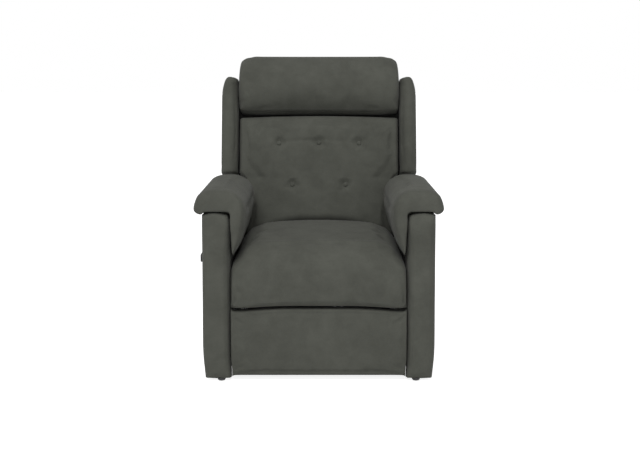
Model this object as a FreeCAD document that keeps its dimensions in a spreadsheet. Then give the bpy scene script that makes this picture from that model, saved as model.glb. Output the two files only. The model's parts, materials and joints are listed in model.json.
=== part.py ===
# Power lift recliner as a parametric document, in millimetres.
# +Z is up and the sitter looks along -Y, so +X is on the right as seen from the front.
# The origin is on the floor, under the middle of the chair's outline.
import FreeCAD
import Part
import os
import re
import Sketcher

# Driving sizes, one cell each in the document's spreadsheet
SIZES = {
    # chair as a whole
    "front_reach": 438, "fit_gap": 0.3, "run_gap": 0.05,
    # seat box
    "seat_width": 560, "seat_frame_bottom": 250, "seat_rail_height": 40, "seat_rail_thick": 35,
    "seat_rear_rail": 45, "side_rail_overlap": 22, "strap_thick": 3, "strap_width": 50,
    "strap_pitch": 95, "strap_count": 5, "strap_inset": 5,
    # seat cushion
    "seat_lip": 248, "lip_depth": 36, "seat_shoulder": 390, "seat_top": 452, "seat_crown": 15,
    "seat_corner": 80, "corner_swell": 18, "front_swell": 8, "seat_side_fall": 84,
    "seat_side_draw": 16, "seat_end_depth": 90, "seat_back_gap": 4,
    # arms
    "seat_gap": 5, "arm_wall_gap": 3, "post_width": 91, "post_depth": 42, "post_top": 559,
    "post_floor_gap": 8, "post_round": 24, "post_draw": 13, "post_crown": 9, "post_taper": 5,
    "arm_board": 18, "arm_bottom": 40,
    "panel_thick": 22, "panel_set_back": 2, "panel_floor_gap": 16, "arm_rear": 300,
    "panel_round": 14,
    # arm pads
    "pad_overhang": 26, "pad_rise": 74, "pad_inner_reach": 50, "pad_drop": 152, "pad_lip": 18,
    "pad_dome": 20, "pad_drape": 9, "pad_tip": 6, "pad_rear": 104, "pad_end_draw": 22,
    "pad_end_depth": 34, "pad_set_back": 2,
    # footrest
    "board_inset": 11, "board_thick": 17, "board_bottom": 28, "board_top": 214,
    "rest_side_gap": 6, "rest_set_back": 2, "rest_bottom": 16, "rest_top": 242, "rest_depth": 44,
    "rest_swell": 9,
    "rest_side_draw": 9, "rest_end_depth": 16,
    # footrest linkage
    "bar_thick": 5, "bar_gap": 2, "bar_half": 11, "plate_set_in": 18, "plate_thick": 4,
    "crank_y": -175, "crank_z": 220, "crank_length": 185, "crank_lean": 22, "crank_inset": 45,
    "guide_offset": 90, "toe_set_back": 39.7, "toe_z": 160, "bracket_edge": 15, "torque_tube": 11,
    "stub_radius": 8,
    "rivet_radius": 6, "rivet_head": 9, "rivet_head_thick": 1.4, "open_play": 0.15,
    # chassis
    "plate_bottom": 140, "plate_edge": 26, "hinge_y": 165, "hinge_z": 290, "lug_radius": 22,
    "hinge_pin": 8, "hinge_head": 12, "hinge_ear": 18,
    "tube_side": 25, "front_tube_y": -10, "front_tube_z": 158, "rear_tube_y": 265,
    "rear_tube_z": 190,
    # base
    "rail_inner": 212, "rail_width": 30, "rail_height": 30, "rail_half_length": 330,
    "rail_bottom": 15, "rail_wall": 2.5, "cross_place": 303, "foot_radius": 18, "foot_thick": 10,
    "foot_stem": 6, "foot_place": 300,
    # lift linkage
    "lug_inner": 194, "lug_thick": 6, "lug_edge": 20, "link_gap": 2, "link_thick": 6, "link_half": 14,
    "front_base_y": -270, "front_base_z": 62, "front_top_y": 15, "front_top_z": 85,
    "rear_base_y": -215, "rear_base_z": 82, "rear_top_y": 265, "rear_top_z": 141,
    "front_shaft": 10, "rear_shaft": 12, "lift_pin": 8, "lift_play": 1.2,
    # actuators
    "lift_lane": -70, "lift_crank_y": -204, "lift_crank_z": 142, "lift_foot_y": 272,
    "lift_foot_z": 82, "lift_case": 23, "recline_lane": 70, "recline_crank_y": 212,
    "recline_crank_z": 242, "recline_foot_y": -45, "recline_foot_z": 195, "recline_case": 20,
    "rod_radius": 7.5, "eye_radius": 16, "eye_width": 16, "eye_play": 4.2, "actuator_pin": 5,
    "cheek_gap": 1, "cheek_thick": 5, "case_start": 40, "lift_end_gap": 40, "recline_end_gap": 88,
    "lift_rod_sunk": 96, "recline_rod_sunk": 50, "rod_bore": 100, "motor_radius": 20,
    "motor_sink": 7, "motor_length": 110, "pin_stand_out": 2,
    # back
    "back_rake": 15, "back_frame_front": 14, "back_frame_thick": 26, "shoulder_round": 34,
    "back_wing_half": 362, "back_head_half": 300, "back_bottom": 24, "back_ear_bottom": 342,
    "back_ear_top": 696, "back_top": 766, "cover_thick": 34, "cover_round": 12, "cover_margin": 4,
    "arm_plate_top": 190,
    # back cushion
    "cushion_bottom": 42, "cushion_side_gap": 4, "cushion_top_half": 297,
    "cushion_side_depth": 62, "cushion_crown": 34, "lumbar_swell": 14, "cushion_top": 548,
    "cushion_edge_draw": 30, "cushion_end_depth": 44, "lumbar_place": 170, "cushion_bow": 5,
    "tuft_radius": 38, "tuft_depth": 9,
    "tuft_high": 438, "tuft_low": 281, "tuft_high_pitch": 149, "tuft_low_pitch": 198,
    "button_radius": 8, "button_thick": 5,
    # headrest and wings
    "head_bottom": 556, "head_top": 790, "head_overlap": 4, "head_front": 62, "head_swell": 52,
    "head_top_swell": 12, "head_side_draw": 30, "head_end_depth": 60, "wing_gap": 9, "wing_width": 58,
    "wing_front": 84, "wing_bottom": 338, "wing_top": 700, "wing_swell": 7, "wing_end_draw": 9,
    "wing_end_depth": 22,
    # handset and its pocket
    "pocket_depth": 20, "pocket_wall": 3, "pocket_set_back": 140, "pocket_length": 160,
    "pocket_bottom": 226, "pocket_mouth": 362, "handset_slack": 2, "handset_width": 56,
    "handset_height": 161, "handset_thick": 13, "handset_round": 6, "grip_height": 24, "grip_proud": 11, "key_radius": 8, "key_thick": 4.5, "key_proud": 0.8,
    "key_well": 6, "key_gap": 0.08, "key_offset": 13,
    # power supply
    "supply_left": 40, "supply_width": 120, "supply_depth": 62, "supply_height": 48,
    "supply_round": 4, "inlet_width": 27, "inlet_height": 20, "inlet_depth": 14,
}

# Sizes worked out from the driving ones
DERIVED = {
    "front_face": "-front_reach",
    "post_inner": "seat_width / 2 + seat_gap",
    "post_outer": "post_inner + post_width",
    "post_back": "front_face + post_depth",
    "arm_inner": "post_inner + arm_wall_gap",
    "panel_outer": "post_outer - panel_set_back",
    "panel_inner": "panel_outer - panel_thick",
    "arm_frame_end": "arm_rear - panel_thick",
    "pad_bottom": "post_top + fit_gap",
    "pad_outer": "post_outer + pad_overhang",
    "pad_inner": "post_inner - pad_inner_reach",
    "pad_wall": "post_inner - fit_gap",
    "pad_mid": "(pad_inner + pad_outer) / 2",
    "seat_rail_top": "seat_frame_bottom + seat_rail_height",
    "deck": "seat_rail_top + strap_thick + fit_gap",
    "front_rail_front": "front_face + lip_depth + fit_gap",
    "front_rail_back": "front_rail_front + seat_rail_thick",
    "rear_rail_front": "seat_rear_rail - seat_rail_thick",
    "cushion_front": "-(cushion_side_depth + cushion_crown + lumbar_swell)",
    "plate_inner": "seat_width / 2 - plate_set_in",
    "plate_outer": "plate_inner + plate_thick",
    "side_rail_inner": "plate_inner - side_rail_overlap",
    "bar_outer": "plate_inner - bar_gap",
    "bar_inner": "bar_outer - bar_thick",
    "rod_bar_outer": "bar_inner - bar_gap",
    "rod_bar_inner": "rod_bar_outer - bar_thick",
    "crank_dy": "crank_length * sin(crank_lean)",
    "crank_dz": "crank_length * cos(crank_lean)",
    "inset_dy": "crank_inset * sin(crank_lean)",
    "inset_dz": "crank_inset * cos(crank_lean)",
    "knee_y": "crank_y + crank_dy",
    "knee_z": "crank_z - crank_dz",
    "upper_y": "knee_y - inset_dy",
    "upper_z": "knee_z + inset_dz",
    "guide_y": "crank_y + guide_offset",
    "guide_knee_y": "knee_y + guide_offset",
    "heel_y": "toe_y - inset_dy",
    "heel_z": "toe_z + inset_dz",
    "rest_half": "post_inner - rest_side_gap",
    "board_half": "rest_half - board_inset",
    "rest_front": "front_face + rest_set_back",
    "rest_back": "rest_front + rest_depth",
    "board_front": "rest_back + fit_gap",
    "board_back": "board_front + board_thick",
    "toe_y": "board_back + toe_set_back",
    "rail_outer": "rail_inner + rail_width",
    "rail_top": "rail_bottom + rail_height",
    "rail_middle": "rail_inner + rail_width / 2",
    "lug_outer": "lug_inner + lug_thick",
    "outer_link_in": "lug_outer + link_gap",
    "outer_link_out": "outer_link_in + link_thick",
    "inner_link_out": "lug_inner - link_gap",
    "inner_link_in": "inner_link_out - link_thick",
    "cheek_near": "eye_width / 2 + cheek_gap",
    "cheek_far": "cheek_near + cheek_thick",
    "eye_bore": "actuator_pin + run_gap",
    "back_low_half": "bar_inner",
    "cushion_low_half": "seat_width / 2 - cushion_side_gap",
    "head_half": "cushion_top_half + head_overlap",
    "wing_inner": "cushion_top_half + wing_gap",
    "wing_outer": "wing_inner + wing_width",
    "back_frame_rear": "back_frame_front + back_frame_thick",
    "cover_front": "back_frame_rear + fit_gap",
    "cover_rear": "cover_front + cover_thick",
    "soft_rear": "back_frame_front - fit_gap",
    "pocket_front": "post_back + pocket_set_back",
    "pocket_rear": "pocket_front + pocket_length",
    "pocket_outer": "panel_outer + pocket_depth",
    "pocket_inner_face": "pocket_outer - pocket_wall",
    "handset_front": "pocket_front + pocket_wall + handset_slack",
    "handset_back": "handset_front + handset_width",
    "handset_middle": "handset_front + handset_width / 2",
    "handset_bottom": "pocket_bottom + pocket_wall + fit_gap",
    "handset_in": "panel_outer + handset_slack",
    "handset_out": "handset_in + handset_thick",
    "handset_top": "handset_bottom + handset_height",
    "grip_bottom": "handset_top - grip_height",
    "grip_out": "handset_out + grip_proud",
    "key_level": "grip_bottom + grip_height / 2",
    "supply_bottom": "rail_top + fit_gap",
    "supply_front": "cross_place - supply_depth / 2",
    "supply_rear": "cross_place + supply_depth / 2",
}

FUNCTIONS = ("sqrt", "sin", "cos", "tan", "atan2")
SIDES = {"left": -1, "right": 1}
# A rounded end: how far in along its depth, and how much of its draw-in is left there
END_STEPS = ((0, 1), (0.1, 0.56), (0.4, 0.2), (1, 0))

doc = FreeCAD.newDocument("LiftRecliner")
sheet = doc.addObject("Spreadsheet::Sheet", "Dims")
for row, (name, size) in enumerate(SIZES.items(), start=1):
    sheet.set(f"A{row}", str(size))
    sheet.setAlias(f"A{row}", name)
doc.recompute()

SUB_PARTS = []


def bind(text):
    """Write an expression in the names above as one in cells of the sheet."""
    def cell(match):
        word = match.group()
        if word in FUNCTIONS:
            return word
        if word in DERIVED:
            return "(" + bind(DERIVED[word]) + ")"
        return "Dims." + word
    return re.sub(r"[a-z][a-z_0-9]*", cell, str(text))


def value(text):
    """The number that an expression gives with the sheet's present sizes."""
    result = sheet.evalExpression(bind(text))
    return float(getattr(result, "Value", result))


def keep(item, label):
    """Name a finished object as one of the chair's sub-parts."""
    item.Label = label
    SUB_PARTS.append(item)
    return item


def new_body(label, kept=True):
    """A body that is a sub-part by itself, or else one of a group."""
    body = doc.addObject("PartDesign::Body", label)
    return keep(body, label) if kept else body


def new_sketch(body, plane, offset):
    """A sketch on one of the body's origin planes, moved along +X, +Y or +Z by offset."""
    sketch = body.newObject("Sketcher::SketchObject", body.Name + "_sketch")
    support = [item for item in body.Origin.OriginFeatures if item.Role == plane + "_Plane"]
    sketch.AttachmentSupport = [(support[0], "")]
    sketch.MapMode = "FlatFace"
    sign = "-" if plane == "XZ" else ""
    sketch.setExpression("AttachmentOffset.Base.z", bind(f"{sign}({offset})"))
    return sketch


def pin_down(sketch, geometry, point, across, up):
    """Tie one point of the sketch to a pair of expressions."""
    for kind, text in (("DistanceX", across), ("DistanceY", up)):
        number = sketch.addConstraint(Sketcher.Constraint(kind, geometry, point, value(text)))
        sketch.setExpression(f"Constraints[{number}]", bind(text))


def draw_outline(sketch, corners, swells=None):
    """Close an anticlockwise outline. A swell bows the side after its corner outwards."""
    swells = swells or {}
    points = [FreeCAD.Vector(value(across), value(up), 0) for across, up in corners]
    count = len(points)
    first = sketch.GeometryCount
    for index in range(count):
        start = points[index]
        end = points[(index + 1) % count]
        if index in swells:
            chord = end - start
            outward = FreeCAD.Vector(chord.y, -chord.x, 0).normalize()
            crest = (start + end) * 0.5 + outward * value(swells[index])
            sketch.addGeometry(Part.Arc(start, crest, end))
        else:
            sketch.addGeometry(Part.LineSegment(start, end))
    tails = []
    heads = []
    for index in range(count):
        edge = sketch.Geometry[first + index]
        forward = (edge.StartPoint - points[index]).Length < (edge.EndPoint - points[index]).Length
        tails.append(1 if forward else 2)
        heads.append(2 if forward else 1)
    for index in range(count):
        following = (index + 1) % count
        sketch.addConstraint(Sketcher.Constraint(
            "Coincident", first + index, heads[index], first + following, tails[following]))
    for index, (across, up) in enumerate(corners):
        pin_down(sketch, first + index, tails[index], across, up)
    for index, swell in swells.items():
        start_across, start_up = corners[index]
        end_across, end_up = corners[(index + 1) % count]
        chord_squared = f"(({end_across}) - ({start_across}))^2 + (({end_up}) - ({start_up}))^2"
        radius = f"(({chord_squared}) / 4 + ({swell})^2) / (2 * ({swell}))"
        number = sketch.addConstraint(Sketcher.Constraint("Radius", first + index, value(radius)))
        sketch.setExpression(f"Constraints[{number}]", bind(radius))


def draw_circle(sketch, across, up, radius):
    centre = FreeCAD.Vector(value(across), value(up), 0)
    circle = Part.Circle(centre, FreeCAD.Vector(0, 0, 1), value(radius))
    index = sketch.addGeometry(circle)
    pin_down(sketch, index, 3, across, up)
    number = sketch.addConstraint(Sketcher.Constraint("Radius", index, value(radius)))
    sketch.setExpression(f"Constraints[{number}]", bind(radius))


def draw_bar(sketch, start, end, radius):
    """A flat bar with round ends about two pivots."""
    ends = [FreeCAD.Vector(value(across), value(up), 0) for across, up in (start, end)]
    size = value(radius)
    along = (ends[1] - ends[0]).normalize()
    side = FreeCAD.Vector(-along.y, along.x, 0) * size
    back = Part.Arc(ends[0] + side, ends[0] - along * size, ends[0] - side)
    front = Part.Arc(ends[1] - side, ends[1] + along * size, ends[1] + side)
    first = sketch.addGeometry(back)
    sketch.addGeometry(Part.LineSegment(ends[0] - side, ends[1] - side))
    sketch.addGeometry(front)
    sketch.addGeometry(Part.LineSegment(ends[1] + side, ends[0] + side))
    for index in range(4):
        following = (index + 1) % 4
        sketch.addConstraint(Sketcher.Constraint("Tangent", first + index, 2, first + following, 1))
    sketch.addConstraint(Sketcher.Constraint("Equal", first, first + 2))
    pin_down(sketch, first, 3, *start)
    pin_down(sketch, first + 2, 3, *end)
    number = sketch.addConstraint(Sketcher.Constraint("Radius", first, size))
    sketch.setExpression(f"Constraints[{number}]", bind(radius))


def pad(body, plane, low, high, draw):
    """Pad what draw puts in a sketch, between two places along the plane's axis."""
    sketch = new_sketch(body, plane, high if plane == "XZ" else low)
    draw(sketch)
    feature = body.newObject("PartDesign::Pad", body.Name + "_pad")
    feature.Profile = sketch
    feature.setExpression("Length", bind(f"({high}) - ({low})"))
    doc.recompute()
    return feature


def cut(body, plane, low, high, draw):
    """Cut what draw puts in a sketch out of the body, between two places."""
    before = body.Shape.Volume
    sketch = new_sketch(body, plane, low if plane == "XZ" else high)
    draw(sketch)
    feature = body.newObject("PartDesign::Pocket", body.Name + "_pocket")
    feature.Profile = sketch
    feature.setExpression("Length", bind(f"({high}) - ({low})"))
    doc.recompute()
    if body.Shape.Volume >= before:
        raise RuntimeError(f"{body.Label}: a pocket cut nothing")
    return feature


def round_edges(body, radius, chosen):
    """Fillet those edges of the body's last feature that the test picks out."""
    base = body.Tip
    names = [f"Edge{n}" for n, edge in enumerate(base.Shape.Edges, start=1) if chosen(edge)]
    feature = body.newObject("PartDesign::Fillet", body.Name + "_fillet")
    feature.Base = (base, names)
    feature.setExpression("Radius", bind(radius))
    doc.recompute()
    return feature


def runs_along(edge, axis):
    """Whether a straight edge is parallel to an axis of the body."""
    if len(edge.Vertexes) < 2 or edge.Curve.TypeId != "Part::GeomLine":
        return False
    line = edge.Vertexes[1].Point - edge.Vertexes[0].Point
    return abs(abs(line.normalize().dot(axis)) - 1) < 1e-6


def loft(label, plane, stations):
    """A soft form through outlines at places along one axis."""
    body = new_body(label)
    sketches = []
    for offset, corners, swells in stations:
        sketch = new_sketch(body, plane, offset)
        draw_outline(sketch, corners, swells)
        sketches.append(sketch)
    doc.recompute()
    feature = body.newObject("PartDesign::AdditiveLoft", body.Name + "_loft")
    feature.Profile = sketches[0]
    feature.Sections = sketches[1:]
    feature.Ruled = True
    doc.recompute()
    return body


def rounded(low, high, depth):
    """Places from low to high, each with the share by which its outline is drawn in."""
    start = [(f"{low} + {step} * {depth}", share) for step, share in END_STEPS]
    end = [(f"{high} - {step} * {depth}", share) for step, share in reversed(END_STEPS)]
    return start + end


def span(side, inner, outer):
    """Low and high X of a piece between two distances from the chair's middle."""
    if side == "right":
        return inner, outer
    return f"-({outer})", f"-({inner})"


def mirrored(side, corners):
    """Outline corners given for the right side, turned over for the left one."""
    if side == "right":
        return corners
    return [(f"-({across})", up) for across, up in reversed(corners)]


def mirrored_swells(side, corners, swells):
    """The swells that belong to mirrored corners."""
    if side == "right":
        return swells
    last = len(corners) - 2
    return {(last - index) % len(corners): swell for index, swell in swells.items()}


def box_outline(low_across, high_across, low_up, high_up):
    return [(low_across, low_up), (high_across, low_up), (high_across, high_up), (low_across, high_up)]


def block(label, x_span, y_span, z_span, kept=True):
    """A plain rectangular piece."""
    body = new_body(label, kept)
    pad(body, "XY", *z_span, lambda sketch: draw_outline(sketch, box_outline(*x_span, *y_span)))
    return body


def rod(name, low, high, along_y, along_z, radius):
    """A plain cylinder along X."""
    cylinder = doc.addObject("Part::Cylinder", name)
    cylinder.Placement.Rotation = FreeCAD.Rotation(FreeCAD.Vector(0, 1, 0), 90)
    cylinder.setExpression("Placement.Base.x", bind(low))
    cylinder.setExpression("Placement.Base.y", bind(along_y))
    cylinder.setExpression("Placement.Base.z", bind(along_z))
    cylinder.setExpression("Height", bind(f"({high}) - ({low})"))
    cylinder.setExpression("Radius", bind(radius))
    return cylinder


def headed_pin(name, side, inner, outer, along_y, along_z, radius, head):
    """A pivot pin along X with a thin head at its end nearer the chair's middle."""
    shank = rod(name + "_shank", *span(side, inner, outer), along_y, along_z, radius)
    cap = rod(name + "_cap", *span(side, f"({inner}) - rivet_head_thick", inner), along_y, along_z, head)
    pin = doc.addObject("Part::Fuse", name)
    pin.Base = shank
    pin.Tool = cap
    return pin


def group(label, items):
    """Like pieces of one body, kept as separate solids in one node."""
    compound = doc.addObject("Part::Compound", label)
    compound.Links = items
    return keep(compound, label)


def place_on_back(item):
    """Lean a piece that was drawn on an upright back, about the back's hinge line."""
    item.Placement.Rotation = FreeCAD.Rotation(FreeCAD.Vector(1, 0, 0), -1)
    item.setExpression("Placement.Rotation.Angle", bind("-back_rake"))
    item.setExpression("Placement.Base.y", bind("hinge_y"))
    item.setExpression("Placement.Base.z", bind("hinge_z"))
    return item


# Base: two floor rails, two cross tubes, levelling feet, and the lugs of the lift links
def box_tube(label, plane, low, high, across_span, up_span):
    """Rectangular steel tube, open at both ends."""
    body = new_body(label)
    hollow = [f"({across_span[0]}) + rail_wall", f"({across_span[1]}) - rail_wall",
              f"({up_span[0]}) + rail_wall", f"({up_span[1]}) - rail_wall"]

    def section(sketch):
        draw_outline(sketch, box_outline(*across_span, *up_span))
        draw_outline(sketch, box_outline(*hollow))
    pad(body, plane, low, high, section)
    return body


def make_base():
    for side in SIDES:
        box_tube(f"base_rail_{side}", "XZ", "-rail_half_length", "rail_half_length",
                 span(side, "rail_inner", "rail_outer"), ("rail_bottom", "rail_top"))
    for end, sign in (("front", "-"), ("rear", "")):
        middle = f"{sign}cross_place"
        box_tube(f"base_cross_tube_{end}", "YZ", "-rail_inner", "rail_inner",
                 (f"{middle} - rail_width / 2", f"{middle} + rail_width / 2"),
                 ("rail_bottom", "rail_top"))
    feet = []
    for side, sign in SIDES.items():
        for end in (-1, 1):
            disc = doc.addObject("Part::Cylinder", "foot_disc")
            disc.setExpression("Radius", bind("foot_radius"))
            disc.setExpression("Height", bind("foot_thick"))
            stem = doc.addObject("Part::Cylinder", "foot_stem")
            stem.setExpression("Radius", bind("foot_stem"))
            stem.setExpression("Height", bind("rail_bottom"))
            for item in (disc, stem):
                item.setExpression("Placement.Base.x", bind(f"{sign} * rail_middle"))
                item.setExpression("Placement.Base.y", bind(f"{end} * foot_place"))
            foot = doc.addObject("Part::Fuse", "foot")
            foot.Base = disc
            foot.Tool = stem
            feet.append(foot)
    group("leveling_feet", feet)
    lugs = []
    for side in SIDES:
        body = new_body(f"lift_lug_{side}", kept=False)
        low, high = span(side, "lug_inner", "lug_outer")
        front_edge = "-cross_place - rail_width / 2"
        corners = [(front_edge, "rail_top"), ("rear_base_y", "rail_top"),
                   ("rear_base_y + lug_edge", "rear_base_z"), ("rear_base_y - lug_edge", "rear_base_z"),
                   (front_edge, "front_base_z + lug_edge")]

        def lug(sketch):
            draw_outline(sketch, corners, {2: "lug_edge - fit_gap"})
            draw_circle(sketch, "front_base_y", "front_base_z", "front_shaft + run_gap")
            draw_circle(sketch, "rear_base_y", "rear_base_z", "rear_shaft + run_gap")
        pad(body, "YZ", low, high, lug)
        lugs.append(body)
    group("lift_lugs", lugs)


# Lift links: each pair is clamped on the ends of its own cross shaft
def link_pair(label, inner, outer, start, end, bores):
    """Two like flat bars, left and right, with a bore at each end."""
    pair = []
    for side in SIDES:
        body = new_body(f"{label}_{side}", kept=False)
        low, high = span(side, inner, outer)
        pad(body, "YZ", low, high, lambda sketch: draw_bar(sketch, start, end, "link_half"))

        def holes(sketch):
            draw_circle(sketch, *start, bores[0])
            draw_circle(sketch, *end, bores[1])
        cut(body, "YZ", low, high, holes)
        pair.append(body)
    group(label, pair)


def make_lift_frames():
    start = ("front_base_y", "front_base_z")
    keep(rod("front_lift_shaft", "-outer_link_out", "outer_link_out", *start, "front_shaft"),
         "front_lift_shaft")
    link_pair("front_lift_links", "outer_link_in", "outer_link_out", start,
              ("front_top_y", "front_top_z"), ("front_shaft + run_gap", "lift_pin + run_gap"))

    start = ("rear_base_y", "rear_base_z")
    body = new_body("rear_lift_shaft")
    pad(body, "YZ", "-lug_outer", "lug_outer", lambda sketch: draw_circle(sketch, *start, "rear_shaft"))
    pinned_cheeks(body, "lift_lane", start, ("lift_crank_y", "lift_crank_z"))
    link_pair("rear_lift_links", "inner_link_in", "inner_link_out", start,
              ("rear_top_y", "rear_top_z"), ("rear_shaft + run_gap", "lift_pin + lift_play"))


def cheek_spans(lane):
    """Low and high X of the two cheeks beside an actuator's eye."""
    return [(f"{lane} - cheek_far", f"{lane} - cheek_near"),
            (f"{lane} + cheek_near", f"{lane} + cheek_far")]


def pinned_cheeks(body, lane, start, end):
    """A crank of two cheeks with a pin welded through their ends."""
    for low, high in cheek_spans(lane):
        pad(body, "YZ", low, high, lambda sketch: draw_bar(sketch, start, end, "eye_radius"))
    pad(body, "YZ", f"{lane} - cheek_far - pin_stand_out", f"{lane} + cheek_far + pin_stand_out",
        lambda sketch: draw_circle(sketch, *end, "actuator_pin"))


# Actuators: a motor and gear case with a clevis eye, and a rod with a long eye at its end
def axis_angle(foot, crank):
    """Placement expressions of a piece whose own +Y runs from foot to crank."""
    rise = f"(({crank[1]}) - ({foot[1]}))"
    run = f"(({crank[0]}) - ({foot[0]}))"
    return f"atan2({rise}; {run})"


def aim(item, lane, foot, crank):
    """Put a piece drawn along +Y from the origin between its two pivots."""
    item.Placement.Rotation = FreeCAD.Rotation(FreeCAD.Vector(1, 0, 0), 1)
    item.setExpression("Placement.Rotation.Angle", bind(axis_angle(foot, crank)))
    item.setExpression("Placement.Base.x", bind(lane))
    item.setExpression("Placement.Base.y", bind(foot[0]))
    item.setExpression("Placement.Base.z", bind(foot[1]))


def make_actuator(name, motor_sign):
    lane = f"{name}_lane"
    case = f"{name}_case"
    foot = (f"{name}_foot_y", f"{name}_foot_z")
    crank = (f"{name}_crank_y", f"{name}_crank_z")
    length = f"sqrt((({crank[0]}) - ({foot[0]}))^2 + (({crank[1]}) - ({foot[1]}))^2)"
    case_end = f"{length} - {name}_end_gap"
    body = new_body(f"{name}_motor_body")
    pad(body, "XZ", "case_start", case_end,
        lambda sketch: draw_circle(sketch, "0", "0", case))
    pad(body, "YZ", "-eye_width / 2", "eye_width / 2",
        lambda sketch: draw_bar(sketch, ("0", "0"), ("case_start", "0"), "eye_radius"))
    cut(body, "YZ", "-eye_width / 2", "eye_width / 2",
        lambda sketch: draw_circle(sketch, "0", "0", "eye_bore"))
    motor = f"{motor_sign} * ({case} + motor_radius - motor_sink)"
    pad(body, "XZ", "case_start", "case_start + motor_length",
        lambda sketch: draw_circle(sketch, motor, "0", "motor_radius"))
    cut(body, "XZ", f"{case_end} - rod_bore", case_end,
        lambda sketch: draw_circle(sketch, "0", "0", "rod_radius + run_gap"))
    aim(body, lane, foot, crank)

    rod_body = new_body(f"{name}_motor_rod")
    pad(rod_body, "XZ", f"{case_end} - {name}_rod_sunk", f"{length} - eye_radius / 2",
        lambda sketch: draw_circle(sketch, "0", "0", "rod_radius"))
    pad(rod_body, "YZ", "-eye_width / 2", "eye_width / 2",
        lambda sketch: draw_circle(sketch, length, "0", "eye_radius"))
    cut(rod_body, "YZ", "-eye_width / 2", "eye_width / 2",
        lambda sketch: draw_circle(sketch, length, "0", "actuator_pin + eye_play"))
    aim(rod_body, lane, foot, crank)


def foot_pin(label, lane, place):
    """The loose pin that an actuator's case swings on."""
    keep(rod(label, f"{lane} - cheek_far - pin_stand_out", f"{lane} + cheek_far + pin_stand_out",
             *place, "actuator_pin"), label)


def make_actuators():
    make_actuator("lift", motor_sign=-1)
    make_actuator("recline", motor_sign=1)
    body = new_body("lift_motor_clevis")
    foot_pad = box_outline("lift_lane - cheek_far", "lift_lane + cheek_far",
                           "cross_place - rail_width / 2", "cross_place + rail_width / 2")
    pad(body, "XY", "rail_top", "rail_top + cheek_thick",
        lambda sketch: draw_outline(sketch, foot_pad))
    root = ("cross_place", "rail_top + eye_radius")
    foot = ("lift_foot_y", "lift_foot_z")
    for low, high in cheek_spans("lift_lane"):
        pad(body, "YZ", low, high, lambda sketch: draw_bar(sketch, root, foot, "eye_radius"))
        cut(body, "YZ", low, high, lambda sketch: draw_circle(sketch, *foot, "eye_bore"))
    foot_pin("lift_foot_pin", "lift_lane", foot)
    foot_pin("recline_foot_pin", "recline_lane", ("recline_foot_y", "recline_foot_z"))


# Power supply on the rear cross tube, with an empty mains inlet
def make_power_supply():
    body = block("power_supply", ("supply_left", "supply_left + supply_width"),
                 ("supply_front", "supply_rear"), ("supply_bottom", "supply_bottom + supply_height"))
    round_edges(body, "supply_round", lambda edge: runs_along(edge, FreeCAD.Vector(0, 0, 1)))
    middle = "supply_left + supply_width / 2"
    level = "supply_bottom + supply_height / 2"
    inlet = box_outline(f"{middle} - inlet_width / 2", f"{middle} + inlet_width / 2",
                        f"{level} - inlet_height / 2", f"{level} + inlet_height / 2")
    cut(body, "XZ", "supply_rear - inlet_depth", "supply_rear",
        lambda sketch: draw_outline(sketch, inlet))


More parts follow.
